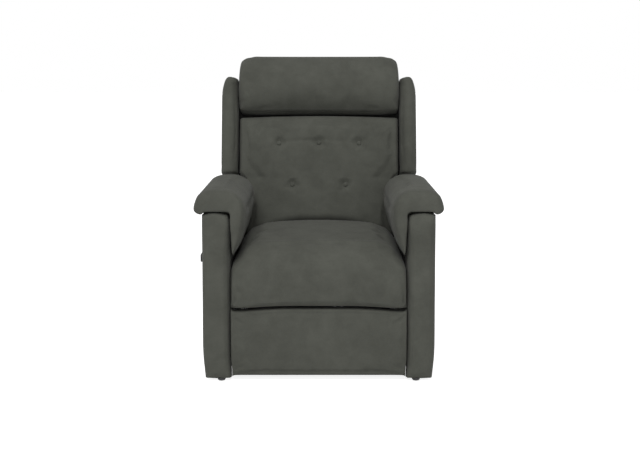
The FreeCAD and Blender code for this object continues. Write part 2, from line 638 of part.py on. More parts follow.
# Chassis: side plates, cross tubes with hangers for the lift links, and pivot pins
def make_chassis():
    plate = [("crank_y - plate_edge", "crank_z - plate_edge"),
             ("guide_y + plate_edge", "crank_z - plate_edge"),
             ("front_tube_y - plate_edge", "plate_bottom"), ("rear_tube_y + plate_edge", "plate_bottom"),
             ("rear_tube_y + plate_edge", "seat_frame_bottom"),
             ("hinge_y + 2 * lug_radius", "seat_frame_bottom"), ("hinge_y + lug_radius", "hinge_z"),
             ("hinge_y - lug_radius", "hinge_z"), ("seat_rear_rail + plate_edge", "seat_frame_bottom"),
             ("crank_y - plate_edge", "seat_frame_bottom")]
    for side in SIDES:
        body = new_body(f"chassis_plate_{side}")

        def plate_face(sketch):
            draw_outline(sketch, plate, {6: "lug_radius - fit_gap"})
            draw_circle(sketch, "crank_y", "crank_z", "stub_radius + run_gap")
            draw_circle(sketch, "guide_y", "crank_z", "rivet_radius + run_gap")
            draw_circle(sketch, "hinge_y", "hinge_z", "hinge_pin + run_gap")
        pad(body, "YZ", *span(side, "plate_inner", "plate_outer"), plate_face)

    ends = (("front", "front_tube_y", "front_tube_z", "front_top_y", "front_top_z"),
            ("rear", "rear_tube_y", "rear_tube_z", "rear_top_y", "rear_top_z"))
    hangers = []
    for end, tube_y, tube_z, pivot_y, pivot_z in ends:
        body = new_body(f"chassis_cross_tube_{end}")
        tube = box_outline(f"{tube_y} - tube_side / 2", f"{tube_y} + tube_side / 2",
                           f"{tube_z} - tube_side / 2", f"{tube_z} + tube_side / 2")
        pad(body, "YZ", "-plate_inner", "plate_inner", lambda sketch: draw_outline(sketch, tube))
        under = f"{tube_z} - tube_side / 2"
        hanger = [(f"{pivot_y} - link_half", pivot_z), (f"{pivot_y} + link_half", pivot_z),
                  (f"{tube_y} + tube_side / 2", under), (f"{tube_y} - tube_side / 2", under)]

        def hanger_face(sketch):
            draw_outline(sketch, hanger, {0: "link_half - fit_gap"})
            draw_circle(sketch, pivot_y, pivot_z, "lift_pin + run_gap")
        for side in SIDES:
            hung = new_body(f"lift_hanger_{end}_{side}", kept=False)
            pad(hung, "YZ", *span(side, "lug_inner", "lug_outer"), hanger_face)
            hangers.append(hung)
        if end == "front":
            foot = ("recline_foot_y", "recline_foot_z")
            for low, high in cheek_spans("recline_lane"):
                pad(body, "YZ", low, high,
                    lambda sketch: draw_bar(sketch, (tube_y, tube_z), foot, "eye_radius"))
                cut(body, "YZ", low, high, lambda sketch: draw_circle(sketch, *foot, "eye_bore"))

    group("lift_hangers", hangers)

    lift_pins = []
    for side in SIDES:
        reach = span(side, "lug_inner - pin_stand_out", "outer_link_out + pin_stand_out")
        lift_pins.append(rod("front_top_pin", *reach, "front_top_y", "front_top_z", "lift_pin"))
        reach = span(side, "inner_link_in - pin_stand_out", "lug_outer + pin_stand_out")
        lift_pins.append(rod("rear_top_pin", *reach, "rear_top_y", "rear_top_z", "lift_pin"))
    group("lift_pivot_pins", lift_pins)
    group("back_hinge_pins", [
        headed_pin(f"hinge_pin_{side}", side, "bar_inner - fit_gap", "plate_outer + pin_stand_out",
                   "hinge_y", "hinge_z", "hinge_pin", "hinge_head") for side in SIDES])
    group("footrest_guide_pins", [
        headed_pin(f"guide_pin_{side}", side, "bar_inner - fit_gap", "plate_outer + pin_stand_out",
                   "guide_y", "crank_z", "rivet_radius", "rivet_head") for side in SIDES])


def stake_rivet(body, side, pivot, layer):
    """A shoulder rivet fixed in a link of one layer, on which the link of the other layer turns."""
    if layer[0] == "bar_inner":
        shank = ("rod_bar_inner - fit_gap", "bar_inner")
        head = ("rod_bar_inner - fit_gap - rivet_head_thick", "rod_bar_inner - fit_gap")
    else:
        shank = ("rod_bar_outer", "bar_outer + fit_gap")
        head = ("bar_outer + fit_gap", "bar_outer + fit_gap + rivet_head_thick")
    for place, radius in ((shank, "rivet_radius"), (head, "rivet_head")):
        pad(body, "YZ", *span(side, *place), lambda sketch: draw_circle(sketch, *pivot, radius))


# Footrest: two parallelograms, so the links only swing or shift and the board turns with the crank
def make_footrest():
    crank = ("crank_y", "crank_z")
    knee = ("knee_y", "knee_z")
    upper = ("upper_y", "upper_z")
    guide = ("guide_y", "crank_z")
    guide_knee = ("guide_knee_y", "knee_z")
    toe = ("toe_y", "toe_z")
    heel = ("heel_y", "heel_z")

    body = new_body("footrest_torque_tube")
    pad(body, "YZ", "-bar_inner", "bar_inner", lambda sketch: draw_circle(sketch, *crank, "torque_tube"))
    pad(body, "YZ", "-plate_outer - pin_stand_out", "plate_outer + pin_stand_out",
        lambda sketch: draw_circle(sketch, *crank, "stub_radius"))

    swing = ("bar_inner", "bar_outer")
    shift = ("rod_bar_inner", "rod_bar_outer")
    links = (("crank_link", (crank, knee), swing, {crank: "stub_radius + run_gap"}, (knee, upper)),
             ("guide_link", (guide, guide_knee), swing,
              {guide: "rivet_radius + run_gap", guide_knee: "rivet_radius + open_play"}, ()),
             ("lower_link", (guide_knee, knee, toe), shift,
              {knee: "rivet_radius + run_gap", toe: "rivet_radius + run_gap"}, (guide_knee,)),
             ("upper_link", (upper, heel), shift,
              {upper: "rivet_radius + run_gap", heel: "rivet_radius + open_play"}, ()))
    for name, pivots, layer, bores, studs in links:
        pair = []
        for side in SIDES:
            body = new_body(f"footrest_{name}_{side}", kept=False)
            low, high = span(side, *layer)
            for start, end in zip(pivots, pivots[1:]):
                pad(body, "YZ", low, high, lambda sketch: draw_bar(sketch, start, end, "bar_half"))

            def holes(sketch):
                for pivot, radius in bores.items():
                    draw_circle(sketch, *pivot, radius)
            cut(body, "YZ", low, high, holes)
            for pivot in studs:
                stake_rivet(body, side, pivot, layer)
            pair.append(body)
        group(f"footrest_{name}s", pair)

    bracket = [("board_back", "toe_z - 2 * bracket_edge"), ("toe_y", "toe_z - bracket_edge"),
               ("toe_y + bracket_edge", "toe_z"), ("heel_y + bracket_edge", "heel_z"),
               ("heel_y + bracket_edge / 2", "board_top - bar_gap"), ("board_back", "board_top - bar_gap")]
    brackets = []
    for side in SIDES:
        body = new_body(f"footrest_bracket_{side}", kept=False)
        pad(body, "YZ", *span(side, *swing), lambda sketch: draw_outline(sketch, bracket))
        for pivot in (toe, heel):
            stake_rivet(body, side, pivot, swing)
        brackets.append(body)
    group("footrest_brackets", brackets)

    body = block("footrest_board", ("-board_half", "board_half"), ("board_front", "board_back"),
                 ("board_bottom", "board_top"))
    round_edges(body, "panel_set_back", lambda edge: runs_along(edge, FreeCAD.Vector(1, 0, 0)))

    def rest_outline(draw):
        front = f"rest_front + rest_swell + {draw}"
        return [(front, f"rest_bottom + {draw}"), ("rest_back", f"rest_bottom + {draw}"),
                ("rest_back", f"rest_top - {draw}"), (front, f"rest_top - {draw}")]
    stations = []
    for place, share in rounded("-rest_half", "rest_half", "rest_end_depth"):
        stations.append((place, rest_outline(f"{share} * rest_side_draw"), {3: "rest_swell"}))
    loft("footrest_pad", "YZ", stations)


# Seat: wooden rails, webbing and a crowned cushion that turns down over the front rail
def make_seat():
    block("seat_rail_front", ("-post_inner + fit_gap", "post_inner - fit_gap"),
          ("front_rail_front", "front_rail_back"), ("seat_frame_bottom", "seat_rail_top"))
    block("seat_rail_rear", ("-arm_inner", "arm_inner"), ("rear_rail_front", "seat_rear_rail"),
          ("seat_frame_bottom", "seat_rail_top"))
    group("seat_side_rails", [
        block(f"seat_rail_{side}", span(side, "side_rail_inner", "arm_inner"),
              ("front_rail_back", "rear_rail_front"), ("seat_frame_bottom", "seat_rail_top"), kept=False)
        for side in SIDES])
    straps = []
    count = int(value("strap_count"))
    for number in range(count):
        strap = doc.addObject("Part::Box", "strap")
        middle = f"({number} - (strap_count - 1) / 2) * strap_pitch"
        strap.setExpression("Length", bind("strap_width"))
        strap.setExpression("Width", bind("seat_rear_rail - front_rail_front - 2 * strap_inset"))
        strap.setExpression("Height", bind("strap_thick"))
        strap.setExpression("Placement.Base.x", bind(f"{middle} - strap_width / 2"))
        strap.setExpression("Placement.Base.y", bind("front_rail_front + strap_inset"))
        strap.setExpression("Placement.Base.z", bind("seat_rail_top"))
        straps.append(strap)
    group("seat_webbing", straps)

    def rear_at(level):
        """Where the seat stops short of the leaning back at a height."""
        lean = "cos(back_rake)"
        return (f"hinge_y + (cushion_front - seat_back_gap) / {lean}"
                f" + (({level}) - hinge_z) * tan(back_rake)")

    def seat_outline(fall, draw):
        front = f"front_face + front_swell + {draw}"
        top = f"seat_top - {fall}"
        lip = f"seat_lip + {draw} / 4"
        return [(front, lip), ("front_face + lip_depth", lip), ("front_face + lip_depth", "deck"),
                (rear_at("deck"), "deck"), (rear_at(top), top), (f"{front} + seat_corner", top),
                (front, f"seat_shoulder - {fall}")]
    swells = {4: "seat_crown", 5: "corner_swell", 6: "front_swell"}
    stations = []
    for place, share in rounded("-seat_width / 2", "seat_width / 2", "seat_end_depth"):
        outline = seat_outline(f"{share} * seat_side_fall", f"{share} * seat_side_draw")
        stations.append((place, outline, swells))
    loft("seat_cushion", "YZ", stations)


def post_section(side, draw):
    """A padded front post, drawn in all round, with a crowned top and a wider upper end."""
    corners = [(f"post_inner + {draw}", f"post_floor_gap + {draw}"),
               (f"post_outer - post_taper - {draw}", f"post_floor_gap + {draw}"),
               (f"post_outer - {draw}", f"post_top - post_crown - {draw}"),
               (f"post_inner + {draw}", f"post_top - post_crown - {draw}")]
    swells = {1: "post_taper / 2", 2: "post_crown"}
    return mirrored(side, corners), mirrored_swells(side, corners, swells)


# Arms: a channel of boards, an outer panel that turns the rear corner, a padded post and a top pad
def make_arm(side):
    body = new_body(f"arm_frame_{side}")
    channel = [("arm_inner", "arm_bottom"), ("panel_inner", "arm_bottom"),
               ("panel_inner", "arm_bottom + arm_board"),
               ("arm_inner + arm_board", "arm_bottom + arm_board"),
               ("arm_inner + arm_board", "post_top - arm_board"),
               ("panel_inner", "post_top - arm_board"), ("panel_inner", "post_top"),
               ("arm_inner", "post_top")]
    pad(body, "XZ", "post_back", "arm_frame_end",
        lambda sketch: draw_outline(sketch, mirrored(side, channel)))

    body = new_body(f"arm_side_panel_{side}")
    panel = [("panel_inner", "post_back"), ("panel_outer", "post_back"), ("panel_outer", "arm_rear"),
             ("arm_inner", "arm_rear"), ("arm_inner", "arm_frame_end"),
             ("panel_inner", "arm_frame_end")]
    pad(body, "XY", "panel_floor_gap", "post_top",
        lambda sketch: draw_outline(sketch, mirrored(side, panel)))
    corner = FreeCAD.Vector(SIDES[side] * value("panel_outer"), value("arm_rear"), 0)

    def rear_corner(edge):
        if not runs_along(edge, FreeCAD.Vector(0, 0, 1)):
            return False
        point = edge.Vertexes[0].Point
        return abs(point.x - corner.x) < 1e-3 and abs(point.y - corner.y) < 1e-3
    round_edges(body, "panel_round", rear_corner)

    stations = []
    for step, share in END_STEPS:
        stations.append((f"front_face + {step} * post_round", *post_section(side, f"{share} * post_draw")))
    stations.append(("post_back", *post_section(side, "0")))
    loft(f"arm_front_post_{side}", "XZ", stations)

    make_arm_pad(side)


def make_arm_pad(side):
    """Mushroom section: an overhang outside, a dome on top and a drape down the inner face."""
    def section(draw):
        outer = f"pad_outer - {draw}"
        crest = f"pad_bottom + pad_rise - {draw}"
        corners = [("pad_wall", "pad_bottom"), (f"{outer} - pad_lip", "pad_bottom"),
                   (outer, "pad_bottom + pad_lip"), ("pad_mid", crest),
                   (f"pad_inner + {draw}", "pad_bottom + pad_lip"),
                   ("pad_wall - pad_tip", f"pad_bottom - pad_drop + {draw}")]
        swells = {1: "pad_lip / 5", 2: "pad_dome", 3: "pad_dome", 4: "pad_drape"}
        return mirrored(side, corners), mirrored_swells(side, corners, swells)

    stations = []
    for place, share in rounded("front_face + pad_set_back", "pad_rear", "pad_end_depth"):
        corners, swells = section(f"{share} * pad_end_draw")
        stations.append((place, corners, swells))
    loft(f"arm_pad_{side}", "XZ", stations)


# Handset in its pocket on the outside of the left arm
def make_handset():
    side = "left"
    body = new_body("handset_pocket")
    walls = [("panel_outer", "pocket_front"), ("pocket_outer", "pocket_front"),
             ("pocket_outer", "pocket_rear"), ("panel_outer", "pocket_rear"),
             ("panel_outer", "pocket_rear - pocket_wall"),
             ("pocket_inner_face", "pocket_rear - pocket_wall"),
             ("pocket_inner_face", "pocket_front + pocket_wall"),
             ("panel_outer", "pocket_front + pocket_wall")]
    floor = box_outline("panel_outer", "pocket_outer", "pocket_front", "pocket_rear")
    pad(body, "XY", "pocket_bottom", "pocket_bottom + pocket_wall",
        lambda sketch: draw_outline(sketch, mirrored(side, floor)))
    pad(body, "XY", "pocket_bottom + pocket_wall", "pocket_mouth",
        lambda sketch: draw_outline(sketch, mirrored(side, walls)))

    # The handset's grip stands out above the pocket's mouth and carries the two keys
    keys = (("handset_key_up", "handset_middle - key_offset"),
            ("handset_key_down", "handset_middle + key_offset"))
    body = block("handset", span(side, "handset_in", "handset_out"), ("handset_front", "handset_back"),
                 ("handset_bottom", "handset_top"))
    grip = box_outline("handset_in", "grip_out", "handset_front", "handset_back")
    pad(body, "XY", "grip_bottom", "handset_top", lambda sketch: draw_outline(sketch, mirrored(side, grip)))
    step = value("grip_bottom")
    round_edges(body, "handset_round", lambda edge: runs_along(edge, FreeCAD.Vector(1, 0, 0))
                and abs(edge.Vertexes[0].Point.z - step) > 1e-3)

    def wells(sketch):
        for _, place in keys:
            draw_circle(sketch, place, "key_level", "key_radius + key_gap")
    cut(body, "YZ", "-grip_out", "-grip_out + key_well", wells)
    for label, place in keys:
        face = "-grip_out - key_proud"
        keep(rod(label, face, f"{face} + key_thick", place, "key_level", "key_radius"), label)


# Back: a board with ears, hinge plates, a crank, cushions, wings and a rear cover
def back_outline(margin, bottom):
    low = f"back_low_half + {margin}"
    wing = f"back_wing_half + {margin}"
    head = f"back_head_half + {margin}"
    ear = f"back_ear_bottom - {margin}"
    shoulder = f"back_ear_top + {margin}"
    top = f"back_top + {margin}"
    right = [(low, bottom), (low, ear), (wing, ear), (wing, shoulder), (head, shoulder), (head, top)]
    return right + [(f"-({across})", up) for across, up in reversed(right)]


def is_shoulder(edge):
    """Whether an edge is an outer corner of the back's ears or of its head."""
    if not runs_along(edge, FreeCAD.Vector(0, 1, 0)):
        return False
    corner = edge.Vertexes[0].Point
    ear = abs(corner.x) > value("(back_head_half + back_wing_half) / 2")
    head = corner.z > value("(back_ear_top + back_top) / 2")
    return ear or head


def make_back():
    body = new_body("back_frame")
    pad(body, "XZ", "back_frame_front", "back_frame_rear",
        lambda sketch: draw_outline(sketch, back_outline("0", "back_bottom")))
    round_edges(body, "shoulder_round", is_shoulder)
    place_on_back(body)

    body = new_body("back_rear_cover")
    pad(body, "XZ", "cover_front", "cover_rear",
        lambda sketch: draw_outline(sketch, back_outline("cover_margin", "back_bottom")))
    round_edges(body, "shoulder_round", is_shoulder)
    rear = value("cover_rear")
    round_edges(body, "cover_round", lambda edge: all(
        abs(vertex.Point.y - rear) < 1e-3 for vertex in edge.Vertexes))
    place_on_back(body)

    plate = [("-hinge_ear", "0"), ("hinge_ear", "0"), ("back_frame_rear", "back_bottom + hinge_ear"),
             ("back_frame_rear", "arm_plate_top"), ("back_frame_front", "arm_plate_top"),
             ("back_frame_front", "back_bottom")]
    plates = []
    for side in SIDES:
        body = new_body(f"back_hinge_plate_{side}", kept=False)

        def plate_face(sketch):
            draw_outline(sketch, plate, {0: "hinge_ear - fit_gap"})
            draw_circle(sketch, "0", "0", "hinge_pin + run_gap")
        pad(body, "YZ", *span(side, "back_low_half", "back_low_half + bar_thick"), plate_face)
        plates.append(body)
    place_on_back(group("back_hinge_plates", plates))

    lean_y = "(recline_crank_y - hinge_y)"
    lean_z = "(recline_crank_z - hinge_z)"
    eye = (f"{lean_y} * cos(back_rake) - {lean_z} * sin(back_rake)",
           f"{lean_y} * sin(back_rake) + {lean_z} * cos(back_rake)")
    body = new_body("recline_crank")
    seat_plate = box_outline("recline_lane - cheek_far", "recline_lane + cheek_far",
                             "back_frame_front", "back_frame_rear")
    pad(body, "XY", "back_bottom - cheek_thick", "back_bottom",
        lambda sketch: draw_outline(sketch, seat_plate))
    root = ("back_frame_front + eye_radius", "back_bottom - eye_radius")
    pinned_cheeks(body, "recline_lane", root, eye)
    place_on_back(body)

    make_back_cushion()
    make_headrest()
    for side in SIDES:
        make_wing(side)


def make_back_cushion():
    def section(half, front, draw):
        side_front = f"-cushion_side_depth + {draw}"
        corners = [(half, "soft_rear"), (f"-({half})", "soft_rear"), (f"-({half})", side_front),
                   (half, side_front)]
        return corners, {1: "cushion_bow", 2: front, 3: "cushion_bow"}
    ends = rounded("cushion_bottom", "cushion_top", "cushion_end_depth")
    steps = len(END_STEPS)
    rows = [(place, "cushion_low_half", "cushion_crown", share) for place, share in ends[:steps]]
    rows += [("lumbar_place", "cushion_low_half", "cushion_crown + lumbar_swell", 0),
             ("back_ear_bottom - cover_round", "cushion_low_half", "cushion_crown", 0),
             ("back_ear_bottom + 3 * cover_round", "cushion_top_half", "cushion_crown", 0)]
    rows += [(place, "cushion_top_half", "cushion_crown", share) for place, share in ends[steps:]]
    stations = []
    for place, half, front, share in rows:
        corners, swells = section(half, front, f"{share} * cushion_edge_draw")
        stations.append((place, corners, swells))
    body = loft("back_cushion", "XY", stations)

    buttons = []
    spots = [("tuft_high", place) for place in (-1, 0, 1)] + [("tuft_low", place) for place in (-0.5, 0.5)]
    face = body.Shape
    for level, place in spots:
        across = f"{place} * {level}_pitch"
        probe = Part.makeLine(FreeCAD.Vector(value(across), value("2 * cushion_front"), value(level)),
                              FreeCAD.Vector(value(across), 0, value(level)))
        surface = min(vertex.Y for vertex in face.common(probe).Vertexes)
        ball = body.newObject("PartDesign::SubtractiveSphere", "tuft")
        ball.MapMode = "Deactivated"
        ball.setExpression("Radius", bind("tuft_radius"))
        ball.setExpression("Placement.Base.x", bind(across))
        ball.setExpression("Placement.Base.y", bind(f"{surface} + tuft_depth - tuft_radius"))
        ball.setExpression("Placement.Base.z", bind(level))
        doc.recompute()
        button = doc.addObject("Part::Cylinder", "button")
        hollow_rise = "tuft_radius - sqrt(tuft_radius^2 - button_radius^2)"
        button.Placement.Rotation = FreeCAD.Rotation(FreeCAD.Vector(1, 0, 0), 90)
        button.setExpression("Radius", bind("button_radius"))
        button.setExpression("Height", bind("button_thick"))
        button.setExpression("Placement.Base.x", bind(across))
        button.setExpression("Placement.Base.y",
                             bind(f"{surface} + tuft_depth - fit_gap - ({hollow_rise})"))
        button.setExpression("Placement.Base.z", bind(level))
        buttons.append(button)
    place_on_back(body)
    place_on_back(group("back_buttons", buttons))


def make_headrest():
    def outline(draw):
        return [(f"-head_front + {draw}", f"head_bottom + {draw}"), ("soft_rear", f"head_bottom + {draw}"),
                ("soft_rear", f"head_top - head_top_swell - {draw}"),
                (f"-head_front + {draw}", f"head_top - head_top_swell - {draw}")]
    swells = {2: "head_top_swell", 3: "head_swell"}
    stations = []
    for place, share in rounded("-head_half", "head_half", "head_end_depth"):
        stations.append((place, outline(f"{share} * head_side_draw"), swells))
    place_on_back(loft("headrest_pillow", "YZ", stations))


def make_wing(side):
    def section(draw):
        outer = f"wing_outer - wing_swell - {draw}"
        inner = f"wing_inner + wing_swell + {draw}"
        front = f"-wing_front + 2 * wing_swell + {draw}"
        corners = [(outer, "soft_rear"), (inner, "soft_rear"), (inner, front), (outer, front)]
        swells = {1: "wing_swell", 2: "2 * wing_swell", 3: "wing_swell"}
        return mirrored(side, corners), mirrored_swells(side, corners, swells)
    stations = []
    for place, share in rounded("wing_bottom", "wing_top", "wing_end_depth"):
        corners, swells = section(f"{share} * wing_end_draw")
        stations.append((place, corners, swells))
    place_on_back(loft(f"wing_{side}", "XY", stations))


make_base()
make_lift_frames()
make_actuators()
make_power_supply()
make_chassis()
make_footrest()
make_seat()
for arm_side in SIDES:
    make_arm(arm_side)
make_handset()
make_back()
doc.recompute()

# Every object and every sub-part is checked before anything is written
for item in doc.Objects:
    if "Invalid" in item.State or "Error" in item.State:
        raise RuntimeError(f"{item.Label} failed to compute: {item.State}")
for item in SUB_PARTS:
    if item.Shape.isNull() or not item.Shape.isValid() or not item.Shape.Solids:
        raise RuntimeError(f"{item.Label} has no valid solid")
os.makedirs("parts", exist_ok=True)
for item in SUB_PARTS:
    item.Shape.exportStep(f"parts/{item.Label}.step")
print(len(SUB_PARTS), "sub-parts written")
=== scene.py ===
# %% [markdown]
# # A power lift recliner in brushed upholstery
# The chair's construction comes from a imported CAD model, and this lesson dresses it. Every cushion, pad and
# cover that the CAD model holds as a plain solid gets a stuffed, sewn form here, and every steel, wooden,
# plastic or rubber piece gets a finish with its own grain. All lengths are metres, in the CAD model's frame:
# +Z is up and the sitter looks along -Y.

# %% Load the frame
import bmesh
import bpy
import json
import math
import numpy as np
from mathutils import Matrix, Vector
from mathutils.bvhtree import BVHTree


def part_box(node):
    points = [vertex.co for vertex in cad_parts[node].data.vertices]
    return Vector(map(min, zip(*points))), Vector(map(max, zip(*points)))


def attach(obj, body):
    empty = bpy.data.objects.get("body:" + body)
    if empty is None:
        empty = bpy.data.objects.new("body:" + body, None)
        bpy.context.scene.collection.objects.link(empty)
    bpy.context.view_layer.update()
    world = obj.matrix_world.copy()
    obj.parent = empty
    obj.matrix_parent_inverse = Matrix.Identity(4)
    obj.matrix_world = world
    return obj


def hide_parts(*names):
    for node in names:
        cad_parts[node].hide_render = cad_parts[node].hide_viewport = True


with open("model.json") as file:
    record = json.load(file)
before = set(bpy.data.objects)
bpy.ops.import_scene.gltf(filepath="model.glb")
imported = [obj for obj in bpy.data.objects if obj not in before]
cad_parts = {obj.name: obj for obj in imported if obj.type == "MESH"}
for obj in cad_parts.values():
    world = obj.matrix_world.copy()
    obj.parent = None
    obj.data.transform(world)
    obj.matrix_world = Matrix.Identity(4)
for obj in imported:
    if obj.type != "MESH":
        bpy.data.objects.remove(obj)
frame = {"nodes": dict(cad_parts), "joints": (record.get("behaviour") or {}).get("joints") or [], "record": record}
scene = bpy.context.scene
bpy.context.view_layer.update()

# %% [markdown]
# ## The camera
# The photograph was taken from straight in front, from about 3.6 m, at the height of the chair's top and
# looking slightly downwards. A long lens keeps the sides nearly parallel.

# %% Camera
PHOTO_WIDTH = 640
SENSOR_MM = 36.0
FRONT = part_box("arm_front_post_left")[0].y
CAMERA_DISTANCE = 3.6
CAMERA_HEIGHT = 1.05
METRES_PER_PIXEL = 0.0032
AIM_HEIGHT = 0.518
AIM_ASIDE = 0.004


def make_camera():
    data = bpy.data.cameras.new("photo_camera")
    camera = bpy.data.objects.new("photo_camera", data)
    scene.collection.objects.link(camera)
    target = Vector((AIM_ASIDE, FRONT, AIM_HEIGHT))
    camera.location = (AIM_ASIDE, FRONT - CAMERA_DISTANCE, CAMERA_HEIGHT)
    sight = target - camera.location
    camera.rotation_euler = sight.to_track_quat("-Z", "Y").to_euler()
    data.sensor_width = SENSOR_MM
    data.lens = SENSOR_MM * sight.length / (PHOTO_WIDTH * METRES_PER_PIXEL)
    scene.camera = camera
    print("lens", round(data.lens, 1), "mm")


make_camera()

# %% [markdown]
# ## Finishes
# A finish is a small tree of shader nodes. One class wraps a node's output so that sums on it can be written
# as plain Python, and a second one holds the material and adds any other node.


# %% Helpers for shader nodes
class Wire:
    """A number that varies over a surface. Sums on it add Math nodes."""

    def __init__(self, finish, socket):
        self.finish = finish
        self.socket = socket

    def sum(self, operation, *terms):
        node = self.finish.add("ShaderNodeMath", {"operation": operation}, dict(enumerate(terms)))
        return Wire(self.finish, node.outputs[0])

    def __add__(self, other):
        return self.sum("ADD", self, other)

    def __sub__(self, other):
        return self.sum("SUBTRACT", self, other)

    def __rsub__(self, other):
        return self.sum("SUBTRACT", other, self)

    def __mul__(self, other):
        return self.sum("MULTIPLY", self, other)

    __radd__ = __add__
    __rmul__ = __mul__


class Finish:
    """A material made of nodes round one Principled shader."""

    def __init__(self, name, **constants):
        self.material = bpy.data.materials.new(name)
        self.material.use_nodes = True
        self.tree = self.material.node_tree
        self.shader = self.tree.nodes["Principled BSDF"]
        self.place = Wire(self, self.add("ShaderNodeTexCoord", {}, {}).outputs["Object"])
        for socket, number in constants.items():
            label = socket.replace("_", " ").title().replace("Ior", "IOR")
            self.shader.inputs[label].default_value = number

    def add(self, kind, settings, inputs):
        node = self.tree.nodes.new(kind)
        for key, item in settings.items():
            setattr(node, key, item)
        for key, item in inputs.items():
            if isinstance(item, Wire):
                self.tree.links.new(item.socket, node.inputs[key])
            else:
                node.inputs[key].default_value = item
        return node

    def stretch(self, scale):
        """The place on the piece, with the pattern stretched."""
        node = self.add("ShaderNodeMapping", {}, {"Vector": self.place, "Scale": scale})
        return Wire(self, node.outputs[0])

    def noise(self, scale, detail, place=None, distortion=0.0):
        inputs = {"Vector": place or self.place, "Scale": scale, "Detail": detail, "Distortion": distortion}
        return Wire(self, self.add("ShaderNodeTexNoise", {}, inputs).outputs["Fac"])

    def cells(self, scale):
        node = self.add("ShaderNodeTexVoronoi", {}, {"Vector": self.place, "Scale": scale})
        return Wire(self, node.outputs["Distance"])

    def waves(self, scale, distortion, direction, place=None):
        settings = {"wave_type": "BANDS", "bands_direction": direction}
        inputs = {"Vector": place or self.place, "Scale": scale, "Distortion": distortion, "Detail": 2.0}
        return Wire(self, self.add("ShaderNodeTexWave", settings, inputs).outputs["Fac"])

    def between(self, wire, span, onto=(0.0, 1.0)):
        """A clamped change from one range to another."""
        inputs = {"Value": wire}
        for name, ends in (("From", span), ("To", onto)):
            inputs[f"{name} Min"], inputs[f"{name} Max"] = ends
        return Wire(self, self.add("ShaderNodeMapRange", {"clamp": True}, inputs).outputs[0])

    def mix(self, share, first, second):
        """A colour between two colours."""
        node = self.add("ShaderNodeMix", {"data_type": "RGBA"}, {0: share, 6: first, 7: second})
        return Wire(self, node.outputs[2])

    def bump(self, height, distance, strength, under=None):
        inputs = {"Height": height, "Distance": distance, "Strength": strength}
        if under:
            inputs["Normal"] = under
        return Wire(self, self.add("ShaderNodeBump", {}, inputs).outputs[0])

    def set(self, socket, wire):
        self.tree.links.new(wire.socket, self.shader.inputs[socket])

    def mesh_number(self, name):
        """A number that the piece's own mesh holds for each point."""
        node = self.add("ShaderNodeAttribute", {"attribute_name": name}, {})
        return Wire(self, node.outputs["Fac"])


def rgba(red, green, blue):
    return (red, green, blue, 1.0)


# %% [markdown]
# ### Brushed upholstery
# The cover is a short-napped microfibre. Its nap lies in patches that hands have brushed one way or the
# other, so the tone drifts by a few percent over a hand's breadth, and the pile is a fine, soft grain. A
# little sheen at grazing angles gives the velvety edge. Where two cushions press together, the shade in the
# gap is painted into the colour as a dark band, and each piece's own mesh says where that is.

# %% Upholstery finish
NAP_LIGHT = rgba(0.098, 0.101, 0.086)
NAP_DARK = rgba(0.070, 0.072, 0.061)
# Near-black painted shade for the seams where two cushions meet.
PAINTED_SEAM_SHADE = rgba(0.012, 0.012, 0.011)


def brushed_cloth(name, light, dark):
    cloth = Finish(name, specular_ior_level=0.18, sheen_weight=0.06, sheen_roughness=0.45)
    drift = cloth.noise(scale=7.0, detail=3.0, distortion=0.6)
    hand = cloth.noise(scale=26.0, detail=4.0, distortion=0.4)
    fleck = cloth.noise(scale=160.0, detail=3.0)
    pile = cloth.noise(scale=1500.0, detail=2.0, place=cloth.stretch((1.0, 1.0, 0.45)))
    tone = cloth.between(drift * 0.45 + hand * 0.35 + fleck * 0.14 + pile * 0.22, (0.42, 0.74))
    nap = cloth.mix(tone, dark, light)
    # Painted shade: where the mesh's mask is high, the nap colour turns to the near-black seam colour.
    unshaded = 1 - cloth.mesh_number("crease")
    cloth.set("Base Color", cloth.mix(unshaded, PAINTED_SEAM_SHADE, nap))
    cloth.set("Roughness", cloth.between(pile, (0.3, 0.7), (0.86, 0.97)))
    weave = cloth.bump(fleck * 0.5 + hand * 0.5, distance=0.0012, strength=0.35)
    cloth.set("Normal", cloth.bump(pile, distance=0.0006, strength=0.5, under=weave))
    return cloth.material


SUEDE = brushed_cloth("brushed_upholstery", NAP_LIGHT, NAP_DARK)

# %% [markdown]
# ### Hard finishes
# Under the covers are raw boards, satin black steel, zinc-plated pins, moulded plastic, woven webbing and
# rubber feet. Each gets grain at its real size: board fibres a millimetre apart, orange peel on the paint,
# turning marks on the pins.


# %% Hard finishes
def raw_board():
    board = Finish("raw_board")
    fibres = board.stretch((60.0, 3.0, 60.0))
    slow = board.stretch((9.0, 0.6, 9.0))
    rings = board.waves(scale=1.6, distortion=6.0, direction="DIAGONAL", place=slow)
    grain = board.noise(scale=1.0, detail=5.0, place=fibres, distortion=0.8)
    tone = board.between(grain * 0.6 + rings * 0.4, (0.25, 0.8))
    board.set("Base Color", board.mix(tone, rgba(0.35, 0.21, 0.10), rgba(0.58, 0.40, 0.22)))
    board.set("Roughness", board.between(grain, (0.3, 0.7), (0.62, 0.82)))
    board.set("Normal", board.bump(grain, distance=0.0006, strength=0.5))
    return board.material


def lined_board():
    lining = Finish("lined_board", roughness=0.9)
    fibres = lining.noise(scale=420.0, detail=4.0)
    felt = lining.noise(scale=60.0, detail=3.0)
    tone = fibres * 0.6 + felt * 0.4
    lining.set("Base Color", lining.mix(tone, rgba(0.006, 0.006, 0.006), rgba(0.026, 0.026, 0.024)))
    lining.set("Normal", lining.bump(fibres, distance=0.0008, strength=0.5))
    return lining.material


